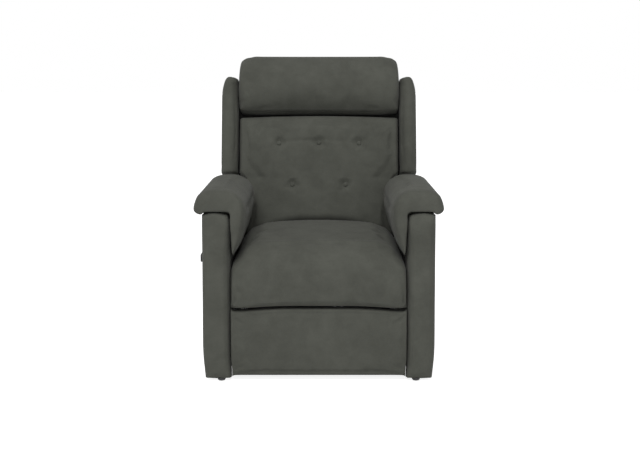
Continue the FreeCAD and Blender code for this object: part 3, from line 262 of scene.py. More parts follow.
def satin_black_steel():
    steel = Finish("satin_black_steel", coat_weight=0.12)
    peel = steel.noise(scale=700.0, detail=2.0)
    dust = steel.noise(scale=18.0, detail=5.0)
    scuff = steel.between(steel.noise(scale=60.0, detail=6.0, distortion=1.2), (0.62, 0.72))
    steel.set("Base Color", steel.mix(scuff * 0.35, rgba(0.016, 0.016, 0.017), rgba(0.075, 0.075, 0.075)))
    steel.set("Roughness", steel.between(dust, (0.3, 0.7), (0.34, 0.52)))
    steel.set("Normal", steel.bump(peel, distance=0.0003, strength=0.4))
    return steel.material


def zinc_plate():
    zinc = Finish("zinc_plate", metallic=1.0)
    turned = zinc.noise(scale=1.0, detail=3.0, place=zinc.stretch((1800.0, 60.0, 60.0)))
    cloud = zinc.noise(scale=40.0, detail=4.0)
    zinc.set("Base Color", zinc.mix(cloud, rgba(0.46, 0.46, 0.45), rgba(0.66, 0.66, 0.64)))
    zinc.set("Roughness", zinc.between(cloud + turned * 0.5, (0.4, 1.1), (0.22, 0.42)))
    zinc.set("Normal", zinc.bump(turned, distance=0.0002, strength=0.4))
    return zinc.material


def moulded_plastic(name, pale, deep):
    plastic = Finish(name)
    grain = plastic.cells(scale=900.0)
    cloud = plastic.noise(scale=30.0, detail=3.0)
    plastic.set("Base Color", plastic.mix(plastic.between(cloud, (0.3, 0.7)), deep, pale))
    plastic.set("Roughness", plastic.between(grain, (0.1, 0.7), (0.42, 0.6)))
    plastic.set("Normal", plastic.bump(grain, distance=0.0003, strength=0.45))
    return plastic.material


def woven_webbing():
    strap = Finish("woven_webbing", roughness=0.85)
    along = strap.waves(scale=260.0, distortion=0.2, direction="Y")
    across = strap.waves(scale=150.0, distortion=0.2, direction="X")
    weave = along * across
    strap.set("Base Color", strap.mix(weave, rgba(0.035, 0.028, 0.022), rgba(0.11, 0.09, 0.07)))
    strap.set("Normal", strap.bump(weave, distance=0.0008, strength=0.7))
    return strap.material


def foot_rubber():
    rubber = Finish("foot_rubber", roughness=0.8)
    grit = rubber.noise(scale=500.0, detail=4.0)
    rubber.set("Base Color", rubber.mix(grit, rgba(0.010, 0.010, 0.010), rgba(0.035, 0.034, 0.032)))
    rubber.set("Normal", rubber.bump(grit, distance=0.0004, strength=0.6))
    return rubber.material


HARD_FINISHES = {
    "wood": raw_board(),
    "lined_board": lined_board(),
    "black_steel": satin_black_steel(),
    "zinc_steel": zinc_plate(),
    "black_plastic": moulded_plastic("black_plastic", rgba(0.022, 0.022, 0.023), rgba(0.012, 0.012, 0.013)),
    "grey_plastic": moulded_plastic("grey_plastic", rgba(0.40, 0.41, 0.42), rgba(0.30, 0.31, 0.32)),
    "webbing": woven_webbing(),
    "rubber": foot_rubber(),
}
WRAPPED = ("arm_frame_left", "arm_frame_right")
for sub_part in frame["record"]["subparts"]:
    node, slot = sub_part["node"], sub_part["material_slot"]
    if slot in HARD_FINISHES:
        node_mesh = frame["nodes"][node].data
        node_mesh.materials.clear()
        node_mesh.materials.append(SUEDE if node in WRAPPED else HARD_FINISHES[slot])
print("hard finishes", len(HARD_FINISHES))

# %% [markdown]
# ## Stuffing a cover
# Padded furniture is a tight cover over foam, so a cover is made the same way: the CAD solid is copied, drawn
# in by a few millimetres, wrapped in an even net of small faces, and blown up by Blender's cloth solver with
# pressure inside. Points on the faces that are stapled down are pinned. How far any point may move is capped,
# so the cover ends close to the solid's size, with the tight crown and soft puckers that only cloth gives.

# %% Stuffing
PRESSURE = 4.0
STIFFNESS = 15.0
SHEAR_STIFFNESS = 6.0
BENDING_STIFFNESS = 0.6
CLOTH_MASS = 0.3
SOLVER_STEPS = 4
STUFFING_FRAMES = 20
DRAW_IN = 0.002
SLIP = 0.006
SUBDIVISIONS = 1
SMOOTH_IN, SMOOTH_OUT = 0.5, -0.52
WELD = 1e-5
LEVEL_STEP = 0.007
CUSHION_INSET, CUSHION_ROUNDS = 0.002, 8
CUSHION_SWELL = 0.006
SLIM_INSET, SLIM_ROUNDS = 0.001, 5
SIDE_POWER = 2.0


def read_points(mesh):
    points = np.empty(len(mesh.vertices) * 3)
    mesh.vertices.foreach_get("co", points)
    return points.reshape(-1, 3)


def write_points(mesh, points):
    mesh.vertices.foreach_set("co", np.asarray(points, np.float32).ravel())
    mesh.update()


def read_normals(mesh):
    normals = np.empty(len(mesh.vertices) * 3)
    mesh.vertices.foreach_get("normal", normals)
    return normals.reshape(-1, 3)


def new_piece(name, mesh):
    piece = bpy.data.objects.new(name, mesh)
    scene.collection.objects.link(piece)
    return piece


def bake_modifiers(piece):
    """Turn what the modifiers show into the piece's own plain mesh."""
    graph = bpy.context.evaluated_depsgraph_get()
    graph.update()
    baked = bpy.data.meshes.new_from_object(piece.evaluated_get(graph))
    piece.modifiers.clear()
    old = piece.data
    piece.data = baked
    bpy.data.meshes.remove(old)


def copy_of_node(node, name):
    """A clean copy of a CAD node's mesh as a new piece."""
    net = bmesh.new()
    net.from_mesh(frame["nodes"][node].data)
    bmesh.ops.remove_doubles(net, verts=net.verts, dist=WELD)
    mesh = bpy.data.meshes.new(name)
    net.to_mesh(mesh)
    net.free()
    return new_piece(name, mesh)


def relax(mesh, rounds):
    """Even out a net: points step towards the middle of their neighbours, then a little more back out."""
    edges = np.empty(len(mesh.edges) * 2, np.int64)
    mesh.edges.foreach_get("vertices", edges)
    first, second = edges.reshape(-1, 2).T
    points = read_points(mesh)
    count = np.bincount(edges, minlength=len(points))[:, None]
    for share in (SMOOTH_IN, SMOOTH_OUT) * rounds:
        total = np.zeros_like(points)
        np.add.at(total, first, points[second])
        np.add.at(total, second, points[first])
        points += share * (total / np.maximum(count, 1) - points)
    write_points(mesh, points)


def ease(value, low, high, origin=0.0):
    """A smooth step from 0 at low to 1 at high, both counted from an origin."""
    start, end = origin + low, origin + high
    share = np.clip((value - start) / (end - start), 0.0, 1.0)
    return share * share * (3.0 - 2.0 * share)


def spread(across, start, end, new_end, power):
    """Squarer sides: distances from the middle beyond start are pushed out, and end lands on new_end."""
    side = np.abs(across)
    reach = np.clip((side - start) / (end - start), 0.0, 1.0)
    pushed = start + (new_end - start) * (1.0 - (1.0 - reach) ** power)
    return np.sign(across) * np.where(side > start, pushed, side)


def level_ends(across, up):
    """How far a form reaches from its middle at each point's own level."""
    count = int((up.max() - up.min()) / LEVEL_STEP)
    levels = np.linspace(up.min(), up.max(), count + 1)
    which = np.clip(np.searchsorted(levels, up) - 1, 0, count - 1)
    ends = [np.abs(across[which == index]).max(initial=0.0) for index in range(count)]
    return np.interp(up, (levels[1:] + levels[:-1]) / 2, ends)


def wrap(piece, voxel, inset, rounds):
    """Give a piece an even net, drawn in by an inset and with its edges rounded."""
    net = piece.modifiers.new("net", "REMESH")
    net.mode = "VOXEL"
    net.voxel_size = voxel
    bake_modifiers(piece)
    write_points(piece.data, read_points(piece.data) - inset * read_normals(piece.data))
    relax(piece.data, rounds)


def stuff(piece, cap, pinned):
    """Blow a cover up with cloth, then hold each point within cap of where it began."""
    start = read_points(piece.data)
    normals = read_normals(piece.data)
    group = piece.vertex_groups.new(name="stapled")
    group.add(np.flatnonzero(pinned(start)).tolist(), 1.0, "REPLACE")
    cloth = piece.modifiers.new("cloth", "CLOTH")
    settings = cloth.settings
    settings.quality = SOLVER_STEPS
    settings.mass = CLOTH_MASS
    settings.tension_stiffness = STIFFNESS
    settings.compression_stiffness = STIFFNESS
    settings.shear_stiffness = SHEAR_STIFFNESS
    settings.bending_stiffness = BENDING_STIFFNESS
    settings.use_pressure = True
    settings.uniform_pressure_force = PRESSURE
    settings.vertex_group_mass = "stapled"
    settings.effector_weights.gravity = 0.0
    cloth.collision_settings.use_collision = False
    for number in range(1, STUFFING_FRAMES + 1):
        scene.frame_set(number)
    bake_modifiers(piece)
    scene.frame_set(1)
    move = read_points(piece.data) - start
    out = np.einsum("ij,ij->i", move, normals)
    held = np.clip(out, -DRAW_IN, cap)
    slip = move - out[:, None] * normals
    length = np.linalg.norm(slip, axis=1, keepdims=True)
    slip *= np.minimum(1.0, SLIP / np.maximum(length, 1e-9))
    write_points(piece.data, start + slip + held[:, None] * normals)
    relax(piece.data, 1)
    piece.vertex_groups.clear()


def finish_cover(piece, body, node, levels=SUBDIVISIONS):
    """Smooth shading, cloth finish and subdivision, then the piece takes its CAD node's place."""
    # Every cover gets a mask of painted seam shade. It stays zero except where that shade is painted in later.
    piece.data.attributes.new("crease", "FLOAT", "POINT")
    piece.data.materials.clear()
    piece.data.materials.append(SUEDE)
    piece.data.shade_smooth()
    if levels:
        smooth = piece.modifiers.new("smooth", "SUBSURF")
        smooth.levels = levels
        smooth.render_levels = levels
        bake_modifiers(piece)
        piece.data.shade_smooth()
    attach(piece, body)
    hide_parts(node)
    print(piece.name, "points", len(piece.data.vertices))


def finish_pair(piece, body, node):
    """Finish a right-hand cover, and a mirrored copy of it for the left."""
    mesh = piece.data.copy()
    mesh.transform(Matrix.Scale(-1, 4, (1, 0, 0)))
    mesh.flip_normals()
    other = new_piece(piece.name.replace("right", "left"), mesh)
    finish_cover(piece, body, node)
    finish_cover(other, body, node.replace("right", "left"))


# %% [markdown]
# ## Back cushion
# The back is one tufted cushion. Five buttons pull its cover in: three in the upper row and two below.
# Around each button the cloth gathers in short creases, and a shallow fold links the three upper ones.

# %% Back cushion
BACK_VOXEL = 0.007
BACK_RAKE = math.radians(15)
BACK_STAPLES = 0.008
BACK_FACE = 0.03
TUFT_REACH = 0.015
TUFT_DEPTH = 0.006
TUFT_FALL = 1.2
PUCKERS = 5
PUCKER_HEIGHT = 0.0012
PUCKER_RING, PUCKER_HALF = 0.022, 0.012
PUCKER_TURN = 0.7
UPPER_BUTTONS = 3
LOW_HALF, HIGH_HALF = 0.276, 0.297
WAIST_DRAWN = (0.330, 0.378)
WAIST_SEWN = (0.312, 0.332)
FOLD_DEPTH = 0.0022
FOLD_HALF = 0.007
FOLD_ARCH = 0.009


def button_places():
    """Middle of each button, from the CAD node's separate solids."""
    net = bmesh.new()
    net.from_mesh(frame["nodes"]["back_buttons"].data)
    bmesh.ops.remove_doubles(net, verts=net.verts, dist=WELD)
    net.verts.ensure_lookup_table()
    seen = set()
    places = []
    for vert in net.verts:
        if vert.index in seen:
            continue
        island = [vert]
        seen.add(vert.index)
        for member in island:
            for edge in member.link_edges:
                other = edge.other_vert(member)
                if other.index not in seen:
                    seen.add(other.index)
                    island.append(other)
        places.append(sum((member.co for member in island), Vector()) / len(island))
    net.free()
    return sorted(places, key=lambda place: (-round(place.z, 2), place.x))


RECLINE = [joint for joint in frame["joints"] if joint["name"] == "recline"][0]
HINGE = Vector(RECLINE["pos_m"])
BUTTONS = button_places()
BACK_OUT = Vector((0, -math.cos(BACK_RAKE), math.sin(BACK_RAKE)))
BACK_UP = Vector((0, math.sin(BACK_RAKE), math.cos(BACK_RAKE)))


def on_back(points):
    """Places as seen on the leaning back: across, out from it, and up along it."""
    arm = points - np.array(HINGE)
    return np.stack([arm[:, 0], arm @ np.array(BACK_OUT), arm @ np.array(BACK_UP)], axis=1)


def off_back(seen):
    """The reverse of on_back."""
    return np.array(HINGE) + seen @ np.array([(1, 0, 0), tuple(BACK_OUT), tuple(BACK_UP)])


def make_back():
    back = copy_of_node("back_cushion", "back_cover")
    wrap(back, BACK_VOXEL, CUSHION_INSET, CUSHION_ROUNDS)
    seen = on_back(read_points(back.data))
    drawn = np.interp(seen[:, 2], WAIST_DRAWN, (LOW_HALF, HIGH_HALF))
    seen[:, 0] *= np.interp(seen[:, 2], WAIST_SEWN, (LOW_HALF, HIGH_HALF)) / drawn
    write_points(back.data, off_back(seen))
    stuff(back, CUSHION_SWELL, lambda p: on_back(p)[:, 1] < BACK_STAPLES)
    points = read_points(back.data)
    across, out, up = on_back(points).T
    face = out > BACK_FACE
    centres = [on_back(np.array([button]))[0] for button in BUTTONS]
    for number, (aside, _, level) in enumerate(centres):
        reach = np.hypot(across - aside, up - level)
        turn = np.arctan2(up - level, across - aside) + PUCKER_TURN * number
        pull = TUFT_DEPTH * np.exp(-(reach / TUFT_REACH) ** TUFT_FALL)
        ring = np.exp(-((reach - PUCKER_RING) / PUCKER_HALF) ** 2)
        pucker = PUCKER_HEIGHT * ring * np.cos(PUCKERS * turn)
        points -= np.outer(np.where(face, pull - pucker, 0.0), np.array(BACK_OUT))
    upper = centres[:UPPER_BUTTONS]
    for first, second in zip(upper, upper[1:]):
        along = np.clip((across - first[0]) / (second[0] - first[0]), 0.0, 1.0)
        arch = first[2] + along * (second[2] - first[2]) + FOLD_ARCH * np.sin(np.pi * along)
        fold = FOLD_DEPTH * np.sin(np.pi * along) ** 0.5 * np.exp(-((up - arch) / FOLD_HALF) ** 2)
        points -= np.outer(np.where(face, fold, 0.0), np.array(BACK_OUT))
    write_points(back.data, points)
    finish_cover(back, "back", "back_cushion")


make_back()

# %% [markdown]
# ## Seat
# The seat's cover runs in one piece from the back, over the crown and down over the front rail. It is stapled
# underneath and behind, where the back hides it, so only those points are pinned. Its sides must stay clear
# of the arms, and it is tucked down along the line where it meets the back.

# %% Seat cover
SEAT_VOXEL = 0.0075
ARM_CLEARANCE = 0.0015
SIDE_GAP = 0.0005
SIDE_START = 0.19
SIDE_LEVELS = (0.368, 0.414)
LIP_SAG = 0.009
LIP_ACROSS = (0.10, 0.30)
LIP_BEHIND = (0.03, 0.08)
LIP_LEVELS = (0.25, 0.33)
REAR_CROWN = 0.006
CROWN_ACROSS = (0.02, 0.20)
CROWN_DEPTHS = (-0.12, 0.06)
CROWN_LEVELS = (0.38, 0.43)
CREVICE_DEPTH = 0.014
CREVICE_REACH = (0.002, 0.016)
CREVICE_LEVELS = (0.36, 0.40)
DECK_STAPLES = 0.02
FRONT_FREE = 0.06
REAR_STAPLES = 0.03


def lip_sag(across):
    """How much lower the seat's lip and the footrest's top edge lie towards the arms."""
    return LIP_SAG * ease(np.abs(across), *LIP_ACROSS)


def distance_to(piece, points):
    """Distance of each point from a finished piece."""
    tree = BVHTree.FromObject(bpy.data.objects[piece], bpy.context.evaluated_depsgraph_get())
    return np.array([tree.find_nearest(Vector(point))[3] for point in points])


def make_seat():
    low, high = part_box("seat_cushion")
    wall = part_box("arm_frame_right")[0].x - ARM_CLEARANCE
    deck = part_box("seat_webbing")[1].z
    seat = copy_of_node("seat_cushion", "seat_cover")
    wrap(seat, SEAT_VOXEL, CUSHION_INSET, CUSHION_ROUNDS)
    points = read_points(seat.data)
    across, depth, up = points.T
    below = 1.0 - ease(up, *SIDE_LEVELS)
    wide = spread(across, SIDE_START, high.x - CUSHION_INSET, wall - SIDE_GAP, SIDE_POWER)
    across += below * (wide - across)
    at_front = 1.0 - ease(depth, *LIP_BEHIND, origin=low.y)
    up -= lip_sag(across) * at_front * (1.0 - ease(up, *LIP_LEVELS))
    crown = (1.0 - ease(np.abs(across), *CROWN_ACROSS)) * ease(depth, *CROWN_DEPTHS)
    up += REAR_CROWN * crown * ease(up, *CROWN_LEVELS)
    write_points(seat.data, points)

    def stapled(p):
        under = (p[:, 2] < deck + DECK_STAPLES) & (p[:, 1] > low.y + FRONT_FREE)
        return under | (p[:, 1] > high.y - REAR_STAPLES)
    stuff(seat, CUSHION_SWELL, stapled)
    points = read_points(seat.data)
    points[:, 0] = np.clip(points[:, 0], -wall, wall)
    tucked = 1.0 - ease(distance_to("back_cover", points), *CREVICE_REACH)
    points[:, 2] -= CREVICE_DEPTH * tucked * ease(points[:, 2], *CREVICE_LEVELS)
    write_points(seat.data, points)
    finish_cover(seat, "chassis", "seat_cushion")


make_seat()


# %% Painted shade along the seam
SEAM_SHADE_CORE = 0.35
SEAT_SEAM_SHADE = (0.012, 0.75)
BACK_SEAM_SHADE = (0.034, 0.9)


def paint_seam_shade(piece, neighbour, reach, depth):
    """Paints shade into the colour of the cloth that lies close to a neighbour: the nearer, the darker."""
    mesh = bpy.data.objects[piece].data
    near = 1.0 - ease(distance_to(neighbour, read_points(mesh)), SEAM_SHADE_CORE * reach, reach)
    # The mask holds painted shade: a dark band in the cloth's colour where seat and back meet.
    mesh.attributes["crease"].data.foreach_set("value", (depth * near).astype(np.float32))
    print(piece, "points on the seam", int((near > 0.5).sum()))


paint_seam_shade("seat_cover", "back_cover", *SEAT_SEAM_SHADE)
paint_seam_shade("back_cover", "seat_cover", *BACK_SEAM_SHADE)

# %% [markdown]
# ## Headrest, wings, arm pads, posts and footrest
# These are the same kind of cover with other sizes. Each is stapled on the side that rests on its board.


# %% Headrest
HEAD_VOXEL = 0.006
HEAD_STAPLES = 0.006
HEAD_TOP = (0.70, 0.79)
HEAD_TOP_DROP = 0.006
HEAD_FOOT = (0.56, 0.60)
HEAD_FOOT_LIFT = 0.003
HEAD_SIDES = (0.25, 0.296, 0.3005)
HEAD_FULL = 0.007
HEAD_FULL_LEVELS = (0.56, 0.70)
HEAD_FULL_DEPTHS = (0.0, 0.06)


def make_headrest():
    pillow = copy_of_node("headrest_pillow", "headrest_cover")
    wrap(pillow, HEAD_VOXEL, CUSHION_INSET, CUSHION_ROUNDS)
    seen = on_back(read_points(pillow.data))
    across, out, up = seen.T
    up -= HEAD_TOP_DROP * ease(up, *HEAD_TOP)
    foot = 1.0 - ease(up, *HEAD_FOOT)
    across += foot * (spread(across, *HEAD_SIDES, SIDE_POWER) - across)
    fuller = (1.0 - ease(up, *HEAD_FULL_LEVELS)) * ease(out, *HEAD_FULL_DEPTHS)
    out += HEAD_FULL * fuller
    up += HEAD_FOOT_LIFT * foot
    write_points(pillow.data, off_back(seen))
    stuff(pillow, CUSHION_SWELL, lambda p: on_back(p)[:, 1] < HEAD_STAPLES)
    finish_cover(pillow, "back", "headrest_pillow")


make_headrest()


# %% Wings
WING_VOXEL = 0.005
WING_SWELL = 0.004
WING_STAPLES = 0.006
WING_MIDDLE = 0.335
WING_OUTER = 0.366
WING_SIDES = (0.3045, 0.3655)
WING_TOP, WING_FOOT = (0.665, 0.70), (0.338, 0.366)
SQUARE_INSIDE, SQUARE_OUTSIDE, SQUARE_FOOT = 0.3, 0.12, 0.3
TAPER = 0.009
TAPER_LEVELS = (0.645, 0.70)
TAPER_POWER = 1.5
WING_TOP_DROP, WING_TOP_LEVELS = 0.005, (0.60, 0.70)
WING_FOOT_DROP, WING_FOOT_LEVELS = 0.013, (0.338, 0.42)


def make_wings():
    wing = copy_of_node("wing_right", "wing_cover_right")
    wrap(wing, WING_VOXEL, SLIM_INSET, SLIM_ROUNDS)
    seen = on_back(read_points(wing.data))
    across, _, up = seen.T
    corner = np.where(across < WING_MIDDLE, SQUARE_INSIDE, SQUARE_OUTSIDE)
    square = 1.0 + corner * ease(up, *WING_TOP) + SQUARE_FOOT * (1.0 - ease(up, *WING_FOOT))
    across[:] = np.clip(WING_MIDDLE + (across - WING_MIDDLE) * square, *WING_SIDES)
    across -= TAPER * (ease(up, *TAPER_LEVELS) ** TAPER_POWER * ease(across, WING_MIDDLE, WING_OUTER))
    top_drop = WING_TOP_DROP * ease(up, *WING_TOP_LEVELS)
    up -= top_drop + WING_FOOT_DROP * (1.0 - ease(up, *WING_FOOT_LEVELS))
    write_points(wing.data, off_back(seen))
    stuff(wing, WING_SWELL, lambda p: on_back(p)[:, 1] < WING_STAPLES)
    finish_pair(wing, "back", "wing_right")


make_wings()


# %% Arm pads
PAD_VOXEL = 0.006
PAD_ROUNDS = 6
PAD_STAPLES = 0.012
PAD_LAP = 0.002
PAD_LIP, PAD_LIP_ACROSS, PAD_LIP_UP = 0.005, (0.092, 0.114), (0.024, 0.054)
HANG, HANG_ACROSS, HANG_UP = 0.011, (0.082, 0.093), (0.02, 0.06)
PAD_TOP_DROP, PAD_TOP_UP = 0.006, (0.03, 0.10)
SHOULDER, SHOULDER_ACROSS = 0.010, (0.035, 0.075)
SHOULDER_FROM, SHOULDER_TO = (0.01, 0.06), (0.075, 0.108)
DRAPE, DRAPE_ACROSS, DRAPE_UP = 0.0028, (-0.02, 0.0), (-0.03, 0.0)


def make_arm_pads():
    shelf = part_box("arm_frame_right")[1].z
    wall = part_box("arm_front_post_right")[0].x
    arm_pad = copy_of_node("arm_pad_right", "arm_pad_cover_right")
    wrap(arm_pad, PAD_VOXEL, SLIM_INSET, PAD_ROUNDS)
    points = read_points(arm_pad.data)
    across, _, up = points.T
    lip = ease(across, *PAD_LIP_ACROSS, origin=wall) * (1.0 - ease(up, *PAD_LIP_UP, origin=shelf))
    across += PAD_LIP * lip
    overhang = ease(across, *HANG_ACROSS, origin=wall)
    up -= HANG * overhang * (1.0 - ease(up, *HANG_UP, origin=shelf))
    up -= PAD_TOP_DROP * ease(up, *PAD_TOP_UP, origin=shelf)
    shoulder = ease(up, *SHOULDER_FROM, origin=shelf) * (1.0 - ease(up, *SHOULDER_TO, origin=shelf))
    across += SHOULDER * shoulder * ease(across, *SHOULDER_ACROSS, origin=wall)
    write_points(arm_pad.data, points)

    def stapled(p):
        under = (p[:, 2] < shelf + PAD_STAPLES) & (p[:, 0] > wall - PAD_LAP)
        return under | ((p[:, 0] > wall - PAD_STAPLES) & (p[:, 2] < shelf))
    stuff(arm_pad, CUSHION_SWELL, stapled)
    points = read_points(arm_pad.data)
    across, _, up = points.T
    drape = ease(across, *DRAPE_ACROSS, origin=wall) * (1.0 - ease(up, *DRAPE_UP, origin=shelf))
    across += DRAPE * drape
    write_points(arm_pad.data, points)
    finish_pair(arm_pad, "chassis", "arm_pad_right")


make_arm_pads()


# %% Front posts
POST_VOXEL = 0.005
POST_CAP = 0.003
POST_STAPLES = 0.012
POST_GAP = 0.0003
POST_SET_OUT, POST_RISE, POST_FALL = 0.004, (0.03, 0.08), (0.42, 0.53)
POST_INNER, POST_OUTER = (0.288, 0.33), (0.32, 0.37)
POST_ROUND = 0.042
POST_DRAW, POST_DRAW_ACROSS = 0.024, (0.012, 0.07)
POST_LEVELS = (0.0, 0.03, 0.07, 0.11, 0.25, 0.40, 0.56)
POST_SWELL = (0.001, 0.003, 0.006, 0.007, 0.004, 0.002, 0.0015)


def set_out(up):
    """How far a post's inner side is set outwards at each level."""
    return POST_SET_OUT * (ease(up, *POST_RISE) - ease(up, *POST_FALL))


def make_posts():
    post = copy_of_node("arm_front_post_right", "post_cover_right")
    low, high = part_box("arm_front_post_right")
    inner = low.x - POST_GAP
    wrap(post, POST_VOXEL, SLIM_INSET, SLIM_ROUNDS)
    points = read_points(post.data)
    across, _, up = points.T
    across += np.interp(up, POST_LEVELS, POST_SWELL) * ease(across, *POST_OUTER)
    across += set_out(up) * (1.0 - ease(across, *POST_INNER))
    write_points(post.data, points)
    stuff(post, POST_CAP, lambda p: p[:, 1] > high.y - POST_STAPLES)
    points = read_points(post.data)
    across, _, up = points.T
    across[:] = np.maximum(across, inner + set_out(up))
    rise = np.clip((up - (high.z - POST_ROUND)) / POST_ROUND, 0.0, 1.0)
    cut_away = POST_DRAW * (1.0 - np.sqrt(1.0 - rise ** 2))
    across += cut_away * (1.0 - ease(across, *POST_DRAW_ACROSS, origin=inner))
    write_points(post.data, points)
    finish_pair(post, "chassis", "arm_front_post_right")


make_posts()


# %% Footrest
REST_VOXEL = 0.005
REST_CAP = 0.004
REST_STAPLES = 0.012
REST_MIDDLE = 0.129
REST_TALLER, REST_EDGE = 0.07, (0.258, 0.279)
REST_LIFT, REST_LIFT_LEVELS = 0.002, (0.20, 0.235)
REST_HALF = 0.287
REST_HEEL, REST_HEEL_LEVELS = 0.003, (0.03, 0.08)
REST_SIDE_START, REST_SIDE_POWER = 0.24, 2.2
REST_TOP = 0.2455
REST_SAG_LEVELS = (0.12, 0.235)


def make_footrest():
    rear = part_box("footrest_pad")[1].y
    rest = copy_of_node("footrest_pad", "footrest_cover")
    wrap(rest, REST_VOXEL, SLIM_INSET, SLIM_ROUNDS)
    stuff(rest, REST_CAP, lambda p: p[:, 1] > rear - REST_STAPLES)
    points = read_points(rest.data)
    across, _, up = points.T
    edge = ease(np.abs(across), *REST_EDGE)
    up[:] = REST_MIDDLE + (up - REST_MIDDLE) * (1.0 + REST_TALLER * edge)
    up += REST_LIFT * ease(up, *REST_LIFT_LEVELS)
    half = REST_HALF - REST_HEEL * (1.0 - ease(up, *REST_HEEL_LEVELS))
    across[:] = spread(across, REST_SIDE_START, level_ends(across, up), half, REST_SIDE_POWER)
    across[:] = np.clip(across, -half, half)
    up[:] = np.minimum(up, REST_TOP)
    up -= lip_sag(across) * ease(up, *REST_SAG_LEVELS)
    write_points(rest.data, points)
    finish_cover(rest, "footrest", "footrest_pad")


make_footrest()


# %% [markdown]
# ## Side panels, rear cover and pocket
# These are thin padding over board. They need no inflating: the net is rounded at its edges and that is all.

# %% Panels
PANEL_ROUNDS = 4
PANELS = (
    ("arm_side_panel_right", "side_panel_cover_right", "chassis", 0.006),
    ("arm_side_panel_left", "side_panel_cover_left", "chassis", 0.006),
    ("back_rear_cover", "rear_cover", "back", 0.007),
    ("handset_pocket", "pocket_cover", "chassis", 0.0018),
)


def make_panels():
    for node, name, body, voxel in PANELS:
        panel = copy_of_node(node, name)
        wrap(panel, voxel, 0.0, PANEL_ROUNDS)
        finish_cover(panel, body, node, levels=0)


make_panels()

# %% [markdown]
# Two flaps of lining cloth close the slits between the back and the arms. They hang on the back's board, and
# each is wider above the arm than beside it.

# %% Side flaps
FLAP_INNER = 0.2555
FLAP_REAR, FLAP_FRONT = -0.030, -0.0285
FLAP_STEPS = ((0.2845, 0.06, 0.330), (0.306, 0.330, 0.42))


def make_flaps():
    net = bmesh.new()
    for side in (-1, 1):
        for outer, low_end, high_end in FLAP_STEPS:
            box = bmesh.ops.create_cube(net, size=1.0)["verts"]
            places = np.array([tuple(vert.co) for vert in box])
            spans = ((side * FLAP_INNER, side * outer), (FLAP_REAR, FLAP_FRONT), (low_end, high_end))
            seen = np.stack([low + (places[:, axis] + 0.5) * (high - low)
                             for axis, (low, high) in enumerate(spans)], axis=1)
            for vert, place in zip(box, off_back(seen)):
                vert.co = place
    bmesh.ops.recalc_face_normals(net, faces=net.faces)
    mesh = bpy.data.meshes.new("side_flaps")
    net.to_mesh(mesh)
    net.free()
    mesh.materials.append(HARD_FINISHES["lined_board"])
    flaps = new_piece("side_flaps", mesh)
    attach(flaps, "back")
    print("side flaps", len(mesh.polygons), "faces")


make_flaps()

# %% [markdown]
# ## Buttons
# A covered button is a small dome. Its cloth is drawn over a shell, so its edge is round and its middle full.
# One dome is made once, and Geometry Nodes set a copy at each tuft.

# %% Buttons
BUTTON_RADIUS = 0.0080
BUTTON_HEIGHT = 0.0055
BUTTON_FULLNESS = 0.8
BUTTON_ROWS, BUTTON_SIDES = 8, 20
BUTTON_PROUD = 0.001


def lathe(name, rows, sides):
    """A closed form turned about +Z from rows of radius and height, with a point at each end."""
    net = bmesh.new()
    hoops = []
    for radius, height in rows[1:-1]:
        hoops.append([net.verts.new((radius * math.cos(2 * math.pi * side / sides),
                                     radius * math.sin(2 * math.pi * side / sides), height))
                      for side in range(sides)])
    first, last = (net.verts.new((0, 0, rows[end][1])) for end in (0, -1))
    for side in range(sides):
        after = (side + 1) % sides
        net.faces.new((first, hoops[0][side], hoops[0][after]))
        net.faces.new((last, hoops[-1][after], hoops[-1][side]))
        for upper, lower in zip(hoops, hoops[1:]):
            net.faces.new((upper[side], lower[side], lower[after], upper[after]))
    bmesh.ops.recalc_face_normals(net, faces=net.faces)
    mesh = bpy.data.meshes.new(name)
    net.to_mesh(mesh)
    net.free()
    mesh.shade_smooth()
    return new_piece(name, mesh)


def round_rows(radius, height, count, fullness):
    """Rows of a lathe from its top to its bottom, rounder or squarer by fullness."""
    angles = [math.pi * step / count for step in range(count + 1)]
    return [(radius * max(math.sin(angle), 0.0) ** fullness, 0.5 * height * math.cos(angle))
            for angle in angles]


def new_tree(name, number, kinds):
    """A Geometry Nodes tree that takes one number, with a node of each kind."""
    tree = bpy.data.node_groups.new(name, "GeometryNodeTree")
    for way in ("INPUT", "OUTPUT"):
        tree.interface.new_socket("Geometry", in_out=way, socket_type="NodeSocketGeometry")
    tree.interface.new_socket(number, in_out="INPUT", socket_type="NodeSocketFloat")
    return tree, [tree.nodes.new(kind) for kind in kinds]


def join_nodes(tree, *links):
    """Each link names a node and its output, then the next node and its input."""
    for source, output, target, socket in links:
        tree.links.new(source.outputs[output], target.inputs[socket])


def run_tree(piece, tree, number, value):
    """Run a tree on a piece, and keep what it makes as the piece's own mesh."""
    setting = [item for item in tree.interface.items_tree if item.name == number][0]
    nodes = piece.modifiers.new(tree.name, "NODES")
    nodes.node_group = tree
    nodes[setting.identifier] = value
    bake_modifiers(piece)


def button_tree(dome):
    """Geometry Nodes: points become domes that face out from the back."""
    kinds = ("NodeGroupInput", "GeometryNodeMeshToPoints", "GeometryNodeObjectInfo",
             "GeometryNodeInstanceOnPoints", "GeometryNodeRealizeInstances", "GeometryNodeSetMaterial",
             "NodeGroupOutput")
    tree, nodes = new_tree("buttons_on_tufts", "Size", kinds)
    begin, points, model, place, real, cover, end = nodes
    model.inputs["Object"].default_value = dome
    place.inputs["Rotation"].default_value = BACK_OUT.to_track_quat("Z", "Y").to_euler()
    cover.inputs["Material"].default_value = SUEDE
    join_nodes(tree,
               (begin, "Geometry", points, "Mesh"),
               (points, "Points", place, "Points"),
               (model, "Geometry", place, "Instance"),
               (begin, "Size", place, "Scale"),
               (place, "Instances", real, "Geometry"),
               (real, "Geometry", cover, "Geometry"),
               (cover, "Geometry", end, "Geometry"))
    return tree


